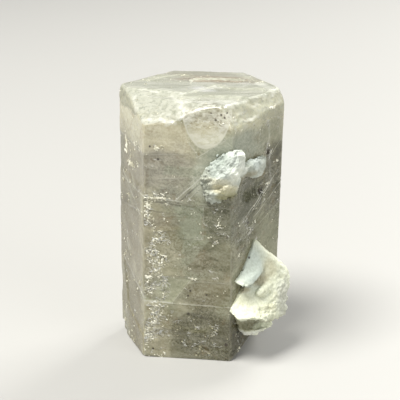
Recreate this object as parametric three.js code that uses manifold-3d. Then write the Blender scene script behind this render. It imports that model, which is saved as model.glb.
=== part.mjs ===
// An apatite crystal: a stubby six-sided prism that stands on a flat base, with two
// growths of white matrix on the edge and face at its front right.
// Millimetres, +Z up. The origin is on the base, on the prism's axis, and the widest
// side face looks towards -Y.
import * as THREE from 'three';
import { ConvexGeometry } from 'three/addons/geometries/ConvexGeometry.js';
import { mergeVertices } from 'three/addons/utils/BufferGeometryUtils.js';
import Module from 'manifold-3d';

const wasm = await Module();
wasm.setup();

// Driving dimensions

const HEIGHT = 50;
const MATRIX_GAP = 0.3;

// The six side faces, anticlockwise from the right: the direction each one looks in,
// in degrees from +X, and its distance from the axis at the base and at the top.
const RIGHT_BACK = { angle: 31.5, base: 12.6, top: 13.9 };
const BACK = { angle: 90.7, base: 13.8, top: 13.9 };
const LEFT_BACK = { angle: 150.8, base: 12.8, top: 12.7 };
const LEFT_FRONT = { angle: 208.3, base: 13.5, top: 13.2 };
const FRONT = { angle: 270, base: 13.1, top: 14.1 };
const RIGHT_FRONT = { angle: 328.7, base: 13.8, top: 14.8 };
const SIDES = [RIGHT_BACK, BACK, LEFT_BACK, LEFT_FRONT, FRONT, RIGHT_FRONT];

// Planes that the crystal is broken along, each through three points [x, y, z].
const FROSTED_SLOPE = [[-14.6, -2.6, 50], [-0.6, -8.6, 50], [-5, -14.1, 46.1]];
const RIGHT_SHOULDER = [[8.6, -13.9, 45.2], [16.4, -1.6, 47.3], [10.2, -7.2, 50]];
const LOWER_RIGHT_CORNER = [[8.3, -13.1, -0.2], [15.6, -1.1, 7.6], [11.5, 6, 0]];
const RIGHT_TOP_CORNER = [[15.6, -3, 50], [14.8, 2.8, 50], [16.7, -0.8, 48.6]];
const LEFT_TOP_CORNER = [[-14.2, -1.5, 50], [-14.2, 0.9, 50], [-14.8, -0.4, 49.2]];

// Thin plates missing from the top, one per step: depth, then the outline as [x, y].
const TOP_STEPS = [
  [0.35, [[-15, -3.2], [-6, -4.4], [-1.2, -6.6], [1.2, -3], [3.4, 1.6], [7.2, -1.2],
    [12.4, -0.4], [14.5, -5], [9, -16], [-9, -16]]],
  [0.8, [[-12, -6], [-6.2, -5.4], [-1, -8.2], [3, -6.2], [9.4, -6.4], [12.2, -8],
    [9, -16], [-9, -16]]],
  [0.3, [[-11, 2.6], [-3.5, 4.6], [-1.4, 8], [-4.6, 10.6], [-8.4, 6.8]]],
  [0.45, [[-1.6, 3.4], [3, 4.6], [7.4, 4.2], [9.4, 7], [3.6, 7.8], [-2.2, 6.6]]],
  [0.3, [[7.4, 8.6], [10.4, 2.6], [13, 1], [9, 9.4]]],
];

// The tongue-shaped scoop below the front rim, and ragged chips elsewhere: side,
// centre [across, height, out], radii (across, up, out), and turn in degrees.
const TONGUE = { side: FRONT, at: [3.9, 49.9, 0.5], radii: [4.7, 8.6, 1.7], turn: 0 };
const CHIPS = [
  { side: FRONT, at: [-2.6, 49.2, 0.4], radii: [4.4, 3.4, 2.4], turn: -4 },
  { side: LEFT_FRONT, at: [4.4, 50.2, 0.2], radii: [5, 2.9, 2.4], turn: -8 },
  { side: RIGHT_FRONT, at: [-2.4, 47.8, 1.2], radii: [6, 3.2, 2.3], turn: 12 },
  { side: RIGHT_FRONT, at: [-1.6, 33.2, 0.5], radii: [4.2, 2.7, 1.5], turn: 10 },
  { side: FRONT, at: [1.4, 7.4, 0.5], radii: [5.4, 3, 1], turn: 0 },
  { side: LEFT_FRONT, at: [-6.2, 0.8, 0.5], radii: [3.8, 2, 1.2], turn: 20 },
  { side: LEFT_BACK, at: [-3, 46, 0.9], radii: [6, 3.6, 1.9], turn: 0 },
  { side: BACK, at: [-5.6, 46.6, 1.1], radii: [4.4, 2.6, 1.8], turn: 10 },
  { side: BACK, at: [4.8, 19, 1], radii: [5, 7.4, 1.6], turn: 24 },
  { side: RIGHT_BACK, at: [3.2, 38, 0.9], radii: [4.6, 6, 1.5], turn: -18 },
  { side: RIGHT_BACK, at: [-5.6, 46, 1.1], radii: [4.2, 3.4, 1.9], turn: 0 },
  { side: LEFT_BACK, at: [5.4, 11.4, 0.8], radii: [4.2, 4.6, 1.4], turn: 12 },
];

// Shallow growth plates missing from the sides: side, depth, outline [across, height].
const SIDE_STEPS = [
  [FRONT, 0.18, [[-9.6, 16.2], [1.3, 16.8], [-2.6, 11.4], [-9.6, 11.5]]],
  [FRONT, 0.14, [[1.9, 15.9], [9.4, 15.8], [9.4, 11.1], [-2.2, 11.3]]],
  [FRONT, 0.16, [[-9.4, 32], [-3.7, 31], [-0.4, 26.2], [-6.8, 25.4], [-9.4, 27]]],
  [FRONT, 0.14, [[0.6, 31.4], [3.4, 28.8], [4, 24.2], [0.2, 22.6], [-1.2, 27]]],
  [FRONT, 0.15, [[-4.8, 6.2], [3.6, 3.4], [9.4, 4.2], [9.4, -1], [-6, -1]]],
  [FRONT, 0.12, [[-9.4, 39.6], [-4.6, 40.4], [0.6, 40.2], [0.2, 36.2], [-9.4, 35.4]]],
  [LEFT_FRONT, 0.15, [[-8, 41], [9, 40], [9, 33.2], [-8, 33.8]]],
  [LEFT_FRONT, 0.16, [[-4.6, 16], [9, 12.4], [9, 4], [-2, 6.2]]],
  [RIGHT_FRONT, 0.15, [[3, 45.2], [9, 44.2], [9, 33], [4.4, 31.6]]],
  [RIGHT_FRONT, 0.14, [[-7.6, 30.6], [-0.8, 29.4], [1.2, 24.2], [-7.6, 22]]],
  [RIGHT_BACK, 0.18, [[-8, 30], [3, 33], [8.6, 28], [8.6, 12], [-1, 9]]],
  [BACK, 0.18, [[-8, 41], [4.2, 44], [8, 39.4], [8, 31], [-3.6, 28.4]]],
  [LEFT_BACK, 0.18, [[-8.4, 36], [-1, 39.4], [5.4, 35], [4, 22.6], [-8.4, 20.4]]],
];

// Cross cracks that open at the surface: side, start and end [across, height].
const CRACK_WIDTH = 0.24;
const CRACK_DEPTH = 0.35;
const CRACKS = [
  [FRONT, [-8.3, 11.5], [-2.6, 11.3]],
  [FRONT, [-2.6, 11.3], [8.1, 11]],
  [FRONT, [1.9, 15.9], [8.2, 15.8]],
  [FRONT, [-1.9, 31.5], [2.7, 35.1]],
  [FRONT, [-6.5, 32.1], [-1.2, 31.7]],
  [LEFT_FRONT, [-5.8, 40.9], [8.4, 39.9]],
  [LEFT_FRONT, [-5.4, 32.4], [8.2, 32.2]],
  [LEFT_FRONT, [-3.6, 27.4], [8.1, 29]],
  [LEFT_FRONT, [-4.1, 15.9], [7.8, 12.1]],
  [RIGHT_FRONT, [-4.4, 26.8], [4.8, 33.6]],
  [RIGHT_FRONT, [-1, 28.6], [6.6, 34.8]],
  [RIGHT_FRONT, [2, 36.4], [7.4, 40.8]],
  [RIGHT_BACK, [-7, 24.4], [7.4, 22.2]],
  [RIGHT_BACK, [-3.4, 11.4], [7.2, 12.8]],
  [BACK, [-6.4, 15.4], [6.2, 13]],
  [BACK, [-6.8, 26.2], [1.4, 27.6]],
  [LEFT_BACK, [-7.4, 17.4], [7.6, 19.2]],
  [LEFT_BACK, [-6.6, 42.8], [2.2, 41.6]],
];

// Pits: side, how many, and the patch of the face [across from, to, height from, to].
const PIT_RADIUS = [0.18, 0.36];
const PIT_FIELDS = [
  [FRONT, 16, [-7.4, -4.6, 2, 34]],
  [FRONT, 14, [-4, 7.6, 1.2, 8.4]],
  [FRONT, 5, [4.4, 7.4, 22, 29]],
  [FRONT, 5, [2.4, 6, 43.6, 47.4]],
  [LEFT_FRONT, 8, [-5.4, 7.4, 4, 44]],
  [RIGHT_FRONT, 7, [-4.6, 5.4, 22.6, 40]],
  [RIGHT_BACK, 8, [-6, 6.4, 4, 45]],
  [BACK, 8, [-6.4, 6.6, 4, 45]],
  [LEFT_BACK, 8, [-6.4, 6.6, 4, 45]],
];
const DEEP_PITS = [
  { side: RIGHT_FRONT, at: [1.5, 32, 0.1], radii: [0.75, 1.15, 0.9], turn: -20 },
  { side: RIGHT_FRONT, at: [3.2, 39, 0.1], radii: [0.7, 0.6, 0.6], turn: 0 },
  { side: RIGHT_FRONT, at: [-2, 25.8, 0.1], radii: [0.9, 0.5, 0.5], turn: 35 },
];

// Nicks along the upright edges: the pair of sides that meet, and how many nicks.
const EDGE_NICKS = [
  [LEFT_FRONT, FRONT, 9],
  [FRONT, RIGHT_FRONT, 7],
  [LEFT_BACK, LEFT_FRONT, 7],
  [RIGHT_FRONT, RIGHT_BACK, 7],
  [RIGHT_BACK, BACK, 7],
  [BACK, LEFT_BACK, 7],
];
const NICK_RADIUS = [0.3, 0.7];

// The growths of matrix sit on the upright edge between the front and the right front
// sides. Their points are [round, height, out]: how far round from that edge, to the left
// or the right, and how far out from the side. Each sheet is a list of lines of points,
// and a smooth skin runs through them. The lines of the upper growth, the spur and the
// blade run from left to right and are stacked from the foot upwards.
const PATCH_LINES = [
  [[-3.5, 31.3, 0.1], [-2.4, 31.6, 0.1], [-1.1, 31.8, 0.1], [-0.1, 32, 0.1], [1.3, 32.7, 0.1]],
  [[-4.5, 32.1, 0.2], [-3, 32.8, 0.8], [-1.8, 33, 0.6], [-0.7, 33.2, 0.6], [0.6, 34.1, 0.9]],
  [[-5.5, 32.9, 0.2], [-3.6, 33.9, 1.5], [-2, 34.5, 2], [-0.9, 35.3, 2.4], [0.5, 35.2, 1.7]],
  [[-5.7, 33.9, 0.2], [-4.1, 34.5, 1.1], [-2.4, 34.9, 1.4], [-1, 35.9, 1.8], [0.8, 36, 1.5]],
  [[-5.9, 35.4, 0.3], [-4.6, 35.7, 1.2], [-3.1, 35.5, 2.2], [-1.7, 36.5, 2.6], [0.6, 37.1, 2]],
  [[-5.8, 36.5, 0.4], [-4.4, 37.1, 1.2], [-2.5, 37.6, 2], [-0.9, 38.4, 2.4], [0.8, 37.8, 2]],
  [[-5.2, 37.8, 0.3], [-3.9, 38.3, 0.9], [-2.1, 38.9, 1.6], [-0.6, 40, 2.2], [1.7, 38.6, 1.6]],
  [[-4.6, 38.9, 0.2], [-3.2, 39.5, 0.7], [-1.7, 40.1, 1.2], [-0.3, 41, 1.8], [2.2, 39.5, 1.3]],
  [[-3.5, 40.2, 0.1], [-2.4, 40.6, 0.4], [-1.2, 41, 0.9], [0, 41.6, 1.2], [2.2, 40.5, 0.9]],
  [[-2.1, 41.2, 0], [-1.5, 41.3, 0.1], [-0.7, 41.5, 0.3], [0.5, 41.8, 0.4], [2.3, 41.2, 0.3]],
];
const SPUR_LINES = [
  [[-0.4, 35.6, 0.1], [2.5, 35.5, 0.1], [4.7, 35.1, 0.1], [6.7, 34.9, 0.1], [8.7, 34.8, 0.1]],
  [[-0.4, 36.8, 1.2], [1.4, 37.2, 1.6], [3, 36.9, 1.6], [5, 36.2, 1.5], [8, 35.8, 0.8]],
  [[-0.4, 38, 1.2], [1.2, 38.2, 1.8], [3, 38, 1.8], [5.2, 37.7, 1.5], [9, 36.6, 0.6]],
  [[0.4, 38.6, 1], [2.3, 38.2, 1.2], [3.9, 38.4, 1.3], [6.1, 38.7, 1.1], [9.4, 37.7, 0.4]],
  [[2, 38.8, 0.1], [4, 38.6, 0.1], [5.4, 38.9, 0.1], [7.5, 39.1, 0.2], [9.7, 39, 0.1]],
];
const BLADE_LINES = [
  [[1, 15.9, 0.4], [1.4, 15.4, 1.5], [2.3, 15.2, 2.2], [3.7, 15.5, 2.6], [5.6, 16.6, 2.6]],
  [[1.5, 16.3, 0.3], [1.9, 16.3, 1.3], [2.8, 16.4, 2], [4.2, 16.8, 2.4], [6.8, 17.4, 2.5]],
  [[2.8, 17.3, 0.2], [3.3, 17.3, 1], [4.2, 17.4, 1.6], [5.6, 17.8, 2], [7.6, 18, 2.2]],
  [[4.1, 18.9, 0.2], [4.5, 18.9, 0.8], [5.4, 18.9, 1.2], [6.5, 19.1, 1.5], [7.8, 19.3, 1.7]],
  [[5.3, 20.6, 0.2], [5.5, 20.8, 0.7], [6.2, 20.8, 0.9], [7, 20.9, 1], [7.7, 20.9, 1]],
  [[6.2, 22.6, 0.3], [6.4, 22.8, 0.5], [6.6, 23, 0.5], [6.8, 22.8, 0.5], [7, 22.5, 0.4]],
];

// The lower growth is a broken shell. Its lines run from its peak round to its left tip:
// the inner edge below the blade, the hollow floor, the slope, the crest and the rim.
const SHELL_LINES = [
  [[6.5, 22.2, 0.3], [6.5, 19.5, 0.9], [6.8, 18.3, 1.2], [6.2, 17.1, 1.4], [5.2, 15.8, 1.4],
    [3.8, 14.9, 1.3], [2.6, 14, 1], [1.9, 13.1, 0.8], [1.1, 12, 0.6], [0.4, 11.2, 0.5],
    [0, 10.1, 0.3]],
  [[6.6, 22.5, 0.4], [6.9, 20.5, 1.4], [8.3, 18.2, 2.2], [8.2, 16.8, 2.8], [7.6, 15.1, 2.8],
    [6.2, 13.6, 2.5], [4.5, 12.5, 2.2], [2.7, 11.6, 2], [1.4, 11, 1.8], [0.7, 10.7, 1.3],
    [0, 9.9, 0.7]],
  [[6.9, 22.6, 0.4], [7.7, 20.8, 1.4], [9.3, 18.9, 2.6], [9.7, 17, 3.4], [9.3, 15.2, 4.2],
    [7.9, 13.1, 4], [6.6, 11.2, 4.1], [3.9, 10.3, 4], [1.8, 10.3, 3.7], [0.9, 10.4, 2.8],
    [0.1, 9.8, 1.6]],
  [[7.1, 22.7, 0.4], [8.7, 20.6, 1.1], [10.8, 18.6, 2.3], [11.2, 17.1, 3.9], [11.1, 15.1, 4.8],
    [9.8, 12.8, 5.1], [8.7, 10.8, 5.2], [6.4, 8.9, 5.2], [2.6, 9.4, 5], [1, 9.9, 4.2],
    [0.3, 9.6, 2.6]],
  [[7.4, 22.5, 0.2], [10, 20.1, 0.5], [12.9, 17.5, 1.5], [13.3, 15.7, 3.2], [13.1, 14, 4.2],
    [12, 11.8, 4.6], [11.5, 9.6, 4.8], [10.9, 7.6, 4.8], [6, 7.5, 4.8], [1.9, 9.2, 4.3],
    [0.7, 9, 2.8]],
];
// The floor of the hollow below the shell, and its lower rim, from the foot upwards.
const UNDER_LINES = [
  [[3, 5.3, 0.3], [3.3, 4.8, 1.5], [5, 4.5, 2.2], [6.3, 4.9, 2.6], [9.2, 5, 3]],
  [[2.3, 6.3, 0.5], [2.4, 6.3, 2.1], [3.6, 5.9, 2.9], [5.1, 5.9, 3.2], [8.3, 5.5, 3.4]],
  [[1.8, 7.3, 0.4], [3, 7, 1.2], [4.7, 6.4, 1.8], [6.5, 5.9, 2.3], [8.9, 5.6, 3.1]],
  [[1.5, 8.6, 0.4], [2.6, 8.6, 1.3], [4.4, 8.2, 1.9], [6.7, 7.4, 2.4], [9.4, 6.9, 3]],
  [[1.8, 10.8, 0.4], [3, 10.6, 1.2], [4.8, 10.2, 1.8], [7, 9.8, 2.2], [9.4, 9.4, 2.6]],
];

// Each sheet's steps along its lines and across them, and how uneven its skin is.
const PATCH_SKIN = { lines: PATCH_LINES, along: 12, across: 20, lump: 0.16 };
const SPUR_SKIN = { lines: SPUR_LINES, along: 12, across: 8, lump: 0.12 };
const BLADE_SKIN = { lines: BLADE_LINES, along: 8, across: 10, lump: 0.05 };
const SHELL_SKIN = { lines: SHELL_LINES, along: 30, across: 9, lump: 0.09 };
const UNDER_SKIN = { lines: UNDER_LINES, along: 12, across: 7, lump: 0.12 };
const BACK_DEPTH = 1.2;
const EDGE_TURN = 2.5;
const BACK_TAPER = 0.78;

// Lumps on the shell and beside its left tip, and a pin hole in the blade.
const SHELL_LUMPS = [
  { side: RIGHT_FRONT, at: [0.4, 13.7, 2.7], radii: [3.1, 1.25, 1.2], turn: 16 },
  { side: RIGHT_FRONT, at: [-6.6, 7.9, 0.4], radii: [0.65, 0.55, 0.8], turn: 0 },
];
const BLADE_HOLE = { side: RIGHT_FRONT, at: [-3.4, 20, 0.9], radii: [0.22, 0.22, 0.5], turn: 0 };

// How far along a rim the bites begin and end, their number and their radius.
const RIM_BITES = { from: 0.12, to: 0.97, count: 44 };
const BITE_RADIUS = [0.18, 0.5];

const APATITE = new THREE.MeshStandardMaterial({
  color: '#b3b09c',
  roughness: 0.3,
  metalness: 0,
});
const MATRIX_WHITE = new THREE.MeshStandardMaterial({
  color: '#d6dccb',
  roughness: 0.75,
  metalness: 0,
});
const MATRIX_CREAM = new THREE.MeshStandardMaterial({
  color: '#e5e8cd',
  roughness: 0.8,
  metalness: 0,
});

// Places on the crystal

function normalOf(side) {
  const angle = THREE.MathUtils.degToRad(side.angle);
  return new THREE.Vector3(Math.cos(angle), Math.sin(angle), 0);
}

function alongOf(side) {
  const normal = normalOf(side);
  return new THREE.Vector3(-normal.y, normal.x, 0);
}

function reachOf(side, z) {
  return THREE.MathUtils.lerp(side.base, side.top, z / HEIGHT);
}

function onSide(side, across, z, out = 0) {
  const point = normalOf(side).multiplyScalar(reachOf(side, z) + out);
  point.addScaledVector(alongOf(side), across);
  return point.setZ(z);
}

// A place beside the upright edge between the front and the right front sides.
function roundEdge([round, z, out]) {
  const side = round < 0 ? FRONT : RIGHT_FRONT;
  const turn = THREE.MathUtils.smoothstep(round, -EDGE_TURN, EDGE_TURN);
  const outwards = normalOf(FRONT).lerp(normalOf(RIGHT_FRONT), turn).normalize();
  const point = cornerOf(FRONT, RIGHT_FRONT, z);
  return point.addScaledVector(alongOf(side), round).addScaledVector(outwards, out);
}

// The point where two neighbouring sides meet at a height.
function cornerOf(first, second, z, grow = 0) {
  const a = normalOf(first);
  const b = normalOf(second);
  const reachA = reachOf(first, z) + grow;
  const reachB = reachOf(second, z) + grow;
  const turn = a.x * b.y - a.y * b.x;
  const x = (reachA * b.y - reachB * a.y) / turn;
  const y = (reachB * a.x - reachA * b.x) / turn;
  return new THREE.Vector3(x, y, z);
}

// Repeatable scatter, so that the same pits come out each time.
function scatterFrom(seed) {
  let state = seed;
  return (low, high) => {
    state = (state * 1664525 + 1013904223) % 4294967296;
    return low + (high - low) * state / 4294967296;
  };
}

// Solids

function solidOf(geometry) {
  geometry.deleteAttribute('normal');
  geometry.deleteAttribute('uv');
  const merged = mergeVertices(geometry, 1e-4);
  const mesh = new wasm.Mesh({
    numProp: 3,
    vertProperties: merged.attributes.position.array,
    triVerts: merged.index.array,
  });
  return new wasm.Manifold(mesh);
}

function hullOf(points) {
  return solidOf(new ConvexGeometry(points));
}

function geometryOf(solid) {
  const mesh = solid.getMesh();
  const geometry = new THREE.BufferGeometry();
  geometry.setAttribute('position', new THREE.BufferAttribute(mesh.vertProperties, 3));
  geometry.setIndex(new THREE.BufferAttribute(mesh.triVerts, 1));
  geometry.computeVertexNormals();
  return geometry;
}

// Everything past a plane, on the side away from the middle of the crystal.
function beyond(points) {
  const [a, b, c] = points.map((point) => new THREE.Vector3(...point));
  const plane = new THREE.Plane().setFromCoplanarPoints(a, b, c);
  if (plane.distanceToPoint(new THREE.Vector3(0, 0, HEIGHT / 2)) > 0) {
    plane.negate();
  }
  const box = new THREE.BoxGeometry(2 * HEIGHT, 2 * HEIGHT, HEIGHT);
  box.translate(0, 0, HEIGHT / 2);
  const upwards = new THREE.Vector3(0, 0, 1);
  box.applyQuaternion(new THREE.Quaternion().setFromUnitVectors(upwards, plane.normal));
  box.translate(a.x, a.y, a.z);
  return solidOf(box);
}

// A ball stretched to three radii and set on a side.
function ballOn({ side, at, radii, turn }, geometry) {
  geometry.scale(...radii);
  geometry.rotateZ(THREE.MathUtils.degToRad(turn));
  const frame = new THREE.Matrix4();
  frame.makeBasis(alongOf(side), new THREE.Vector3(0, 0, 1), normalOf(side));
  frame.setPosition(onSide(side, ...at));
  geometry.applyMatrix4(frame);
  return solidOf(geometry);
}

function scoopOn(place) {
  return ballOn(place, new THREE.SphereGeometry(1, 32, 20));
}

// A scoop of uneven facets, as a chip with a ragged outline leaves.
function chipOn(place, scatter) {
  const ball = new THREE.IcosahedronGeometry(1, 1);
  ball.deleteAttribute('normal');
  ball.deleteAttribute('uv');
  const chip = mergeVertices(ball, 1e-4);
  const position = chip.attributes.position;
  const vertex = new THREE.Vector3();
  for (let index = 0; index < position.count; index += 1) {
    vertex.fromBufferAttribute(position, index).multiplyScalar(scatter(0.78, 1.1));
    position.setXYZ(index, ...vertex);
  }
  return ballOn(place, chip);
}

function pitOn(side, across, z, radius, scatter) {
  const pit = new THREE.IcosahedronGeometry(1, 0);
  pit.rotateX(scatter(0, Math.PI));
  pit.rotateY(scatter(0, Math.PI));
  const radii = [radius * scatter(1.2, 2.8), radius * 0.8, radius * 0.6];
  const turn = scatter(-30, 30);
  return ballOn({ side, at: [across, z, 0], radii, turn }, pit);
}

// The whole prism with sharp edges, or one that is larger all round.
function prism(grow = 0) {
  const corners = SIDES.flatMap((side, index) => {
    const next = SIDES[(index + 1) % SIDES.length];
    return [
      cornerOf(side, next, -grow, grow),
      cornerOf(side, next, HEIGHT + grow, grow),
    ];
  });
  return hullOf(corners);
}

// Cuts in the crystal

function topStep([depth, outline]) {
  const shape = new THREE.Shape(outline.map(([x, y]) => new THREE.Vector2(x, y)));
  const plate = new THREE.ExtrudeGeometry(shape, { depth: HEIGHT, bevelEnabled: false });
  plate.translate(0, 0, HEIGHT - depth);
  return solidOf(plate);
}

function sideStep([side, depth, outline]) {
  const proud = 1;
  const points = outline.flatMap(([across, z]) => [
    onSide(side, across, z, -depth),
    onSide(side, across, z, proud),
  ]);
  return hullOf(points);
}

// A V-shaped groove from one point of a side to another.
function crack([side, start, end]) {
  const proud = 0.4;
  const tip = 0.25;
  const points = [start, end].flatMap(([across, z]) => [
    onSide(side, across, z - CRACK_WIDTH * 1.2, proud),
    onSide(side, across, z + CRACK_WIDTH * 1.2, proud),
  ]);
  const inset = new THREE.Vector2(end[0] - start[0], end[1] - start[1]).multiplyScalar(tip);
  points.push(onSide(side, start[0] + inset.x, start[1] + inset.y, -CRACK_DEPTH));
  points.push(onSide(side, end[0] - inset.x, end[1] - inset.y, -CRACK_DEPTH));
  return hullOf(points);
}

function pitField([side, count, [fromAcross, toAcross, fromZ, toZ]], scatter) {
  const pits = [];
  for (let index = 0; index < count; index += 1) {
    const across = scatter(fromAcross, toAcross);
    const z = scatter(fromZ, toZ);
    pits.push(pitOn(side, across, z, scatter(...PIT_RADIUS), scatter));
  }
  return pits;
}

function edgeNicks([first, second, count], scatter) {
  const nicks = [];
  for (let index = 0; index < count; index += 1) {
    const z = HEIGHT * (index + scatter(0.25, 0.75)) / count;
    const place = cornerOf(first, second, z, 0.15);
    const nick = new THREE.IcosahedronGeometry(1, 0);
    nick.rotateX(scatter(0, Math.PI));
    nick.scale(0.6, 0.6, scatter(0.8, 1.8));
    const radius = scatter(...NICK_RADIUS);
    nick.scale(radius, radius, radius);
    nick.translate(place.x, place.y, place.z);
    nicks.push(solidOf(nick));
  }
  return nicks;
}

function apatiteCrystal() {
  const scatter = scatterFrom(11);
  const planes = [
    FROSTED_SLOPE,
    RIGHT_SHOULDER,
    LOWER_RIGHT_CORNER,
    RIGHT_TOP_CORNER,
    LEFT_TOP_CORNER,
  ];
  const cuts = [
    ...planes.map(beyond),
    ...TOP_STEPS.map(topStep),
    scoopOn(TONGUE),
    ...CHIPS.map((chip) => chipOn(chip, scatter)),
    ...SIDE_STEPS.map(sideStep),
    ...CRACKS.map(crack),
    ...PIT_FIELDS.flatMap((field) => pitField(field, scatter)),
    ...DEEP_PITS.map(lumpOn),
    ...EDGE_NICKS.flatMap((edge) => edgeNicks(edge, scatter)),
  ];
  return bodyOf(cuts.reduce((crystal, cut) => crystal.subtract(cut), prism()));
}

// The growths of matrix

// A grid of points on the smooth skin through a sheet's lines.
function skinOf({ lines, along, across }) {
  const curveOf = (points) => new THREE.CatmullRomCurve3(points);
  const curves = lines.map((line) => curveOf(line.map((at) => new THREE.Vector3(...at))));
  const steps = Array.from({ length: along + 1 }, (_, step) => step / along);
  const columns = steps.map((share) => curveOf(curves.map((curve) => curve.getPoint(share))));
  const rows = Array.from({ length: across + 1 }, (_, step) => step / across);
  return rows.map((share) => columns.map((column) => column.getPoint(share)));
}

// A closed solid between a sheet's uneven skin and the same grid drawn in behind it.
function sheet(form, scatter) {
  const grid = skinOf(form);
  const middle = new THREE.Vector3();
  grid.flat().forEach((point) => middle.add(point));
  middle.divideScalar(grid.flat().length);
  const front = grid.map((row) => row.map((point) => {
    const lump = Math.min(form.lump, point.z);
    return roundEdge([point.x, point.y, point.z + scatter(-lump, lump)]);
  }));
  const back = grid.map((row) => row.map((point) => {
    const drawn = point.clone().lerp(middle, 1 - BACK_TAPER);
    return roundEdge([drawn.x, drawn.y, -BACK_DEPTH]);
  }));
  const width = form.along + 1;
  const height = form.across + 1;
  const numberOf = (layer, row, column) => (layer * height + row) * width + column;
  const faces = [];
  for (let row = 0; row < form.across; row += 1) {
    for (let column = 0; column < form.along; column += 1) {
      const cell = [[row, column], [row, column + 1], [row + 1, column + 1], [row + 1, column]];
      const [a, b, c, d] = cell.map((place) => numberOf(0, ...place));
      const [e, f, g, h] = cell.map((place) => numberOf(1, ...place));
      faces.push(a, b, c, a, c, d, e, g, f, e, h, g);
    }
  }
  const brink = [
    ...Array.from({ length: form.along }, (_, step) => [0, step]),
    ...Array.from({ length: form.across }, (_, step) => [step, form.along]),
    ...Array.from({ length: form.along }, (_, step) => [form.across, form.along - step]),
    ...Array.from({ length: form.across }, (_, step) => [form.across - step, 0]),
  ];
  brink.forEach((place, index) => {
    const next = brink[(index + 1) % brink.length];
    const [a, b] = [numberOf(0, ...place), numberOf(0, ...next)];
    const [c, d] = [numberOf(1, ...place), numberOf(1, ...next)];
    faces.push(b, a, c, b, c, d);
  });
  const geometry = new THREE.BufferGeometry();
  const places = [...front.flat(), ...back.flat()].flatMap((point) => [...point]);
  geometry.setAttribute('position', new THREE.Float32BufferAttribute(places, 3));
  geometry.setIndex(faces);
  return solidOf(geometry);
}

// A ball of few facets, added as a lump or cut away as a pit.
function lumpOn(place) {
  return ballOn(place, new THREE.IcosahedronGeometry(1, 1));
}

// Small bites along a sheet's last line, which leave its rim ragged.
function bitesOn({ lines }, { from, to, count }, scatter) {
  const points = lines.at(-1).map((at) => new THREE.Vector3(...at));
  const rim = new THREE.CatmullRomCurve3(points);
  return Array.from({ length: count }, (_, index) => {
    const at = rim.getPoint(THREE.MathUtils.lerp(from, to, (index + scatter(0, 1)) / count));
    const radius = scatter(...BITE_RADIUS);
    const bite = new THREE.IcosahedronGeometry(1, 0);
    bite.rotateX(scatter(0, Math.PI));
    bite.scale(radius * scatter(0.7, 1.6), radius, radius * scatter(0.7, 1.6));
    bite.translate(...roundEdge([at.x, at.y, at.z + 0.6 * radius]));
    return solidOf(bite);
  });
}

function joined(solids) {
  return solids.reduce((whole, next) => whole.add(next));
}

// The main body of a solid, without loose crumbs or sealed holes.
function bodyOf(solid) {
  return solid.decompose().reduce((a, b) => (a.volume() > b.volume() ? a : b));
}

function matrixPatch() {
  const scatter = scatterFrom(29);
  const growth = joined([sheet(PATCH_SKIN, scatter), sheet(SPUR_SKIN, scatter)]);
  return bodyOf(growth.subtract(prism(MATRIX_GAP)));
}

function matrixFlange() {
  const scatter = scatterFrom(47);
  const sheets = [BLADE_SKIN, SHELL_SKIN, UNDER_SKIN].map((form) => sheet(form, scatter));
  const cuts = [
    ...bitesOn(SHELL_SKIN, RIM_BITES, scatter),
    lumpOn(BLADE_HOLE),
    prism(MATRIX_GAP),
  ];
  const whole = joined([...sheets, ...SHELL_LUMPS.map(lumpOn)]);
  return bodyOf(cuts.reduce((flange, cut) => flange.subtract(cut), whole));
}

// The scene graph

function pieceOf(name, solid, material) {
  const piece = new THREE.Mesh(geometryOf(solid), material);
  piece.name = name;
  return piece;
}

const group = new THREE.Group();
group.add(pieceOf('apatite_crystal', apatiteCrystal(), APATITE));
group.add(pieceOf('matrix_patch', matrixPatch(), MATRIX_WHITE));
group.add(pieceOf('matrix_flange', matrixFlange(), MATRIX_CREAM));

export default group;
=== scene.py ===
"""An apatite crystal with two growths of white matrix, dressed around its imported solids.

Lengths in this script are in millimetres, and MM turns them to the scene's metres."""
import math
import bmesh
import bpy
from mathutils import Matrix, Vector, noise


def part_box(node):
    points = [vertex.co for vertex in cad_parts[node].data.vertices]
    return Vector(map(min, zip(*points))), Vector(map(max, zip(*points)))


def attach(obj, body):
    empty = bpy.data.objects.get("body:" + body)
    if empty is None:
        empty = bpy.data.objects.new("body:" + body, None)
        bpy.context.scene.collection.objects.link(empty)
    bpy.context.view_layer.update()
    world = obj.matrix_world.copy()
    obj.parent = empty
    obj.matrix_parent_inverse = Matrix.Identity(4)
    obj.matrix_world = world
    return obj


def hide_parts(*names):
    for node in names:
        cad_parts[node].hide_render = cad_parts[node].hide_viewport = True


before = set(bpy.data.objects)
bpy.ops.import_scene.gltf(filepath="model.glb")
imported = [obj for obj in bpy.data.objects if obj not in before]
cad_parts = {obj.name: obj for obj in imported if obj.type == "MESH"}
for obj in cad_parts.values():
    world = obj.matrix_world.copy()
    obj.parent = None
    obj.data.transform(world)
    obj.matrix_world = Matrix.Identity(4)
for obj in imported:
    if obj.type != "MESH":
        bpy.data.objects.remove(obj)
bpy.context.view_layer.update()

# Without a seed of its own, noise.noise_vector differs from run to run.
NOISE_SEED = 1
noise.seed_set(NOISE_SEED)

MM = 0.001
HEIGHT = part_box("apatite_crystal")[1].z / MM

# The six sides: the direction each one looks in, in degrees from +X, and its distance
# from the axis at the base and at the top.
SIDES = {
    "right_back": (31.5, 12.6, 13.9),
    "back": (90.7, 13.8, 13.9),
    "left_back": (150.8, 12.8, 12.7),
    "left_front": (208.3, 13.5, 13.2),
    "front": (270.0, 13.1, 14.1),
    "right_front": (328.7, 13.8, 14.8),
}

CRYSTAL_VOXEL = 0.28
MATRIX_VOXEL = 0.13
WELD = 0.001

# The rim of the top, above this height, is more worn than the other edges.
RIM = 44
RIM_PASSES = 10
EDGE_PASSES = 1

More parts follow.
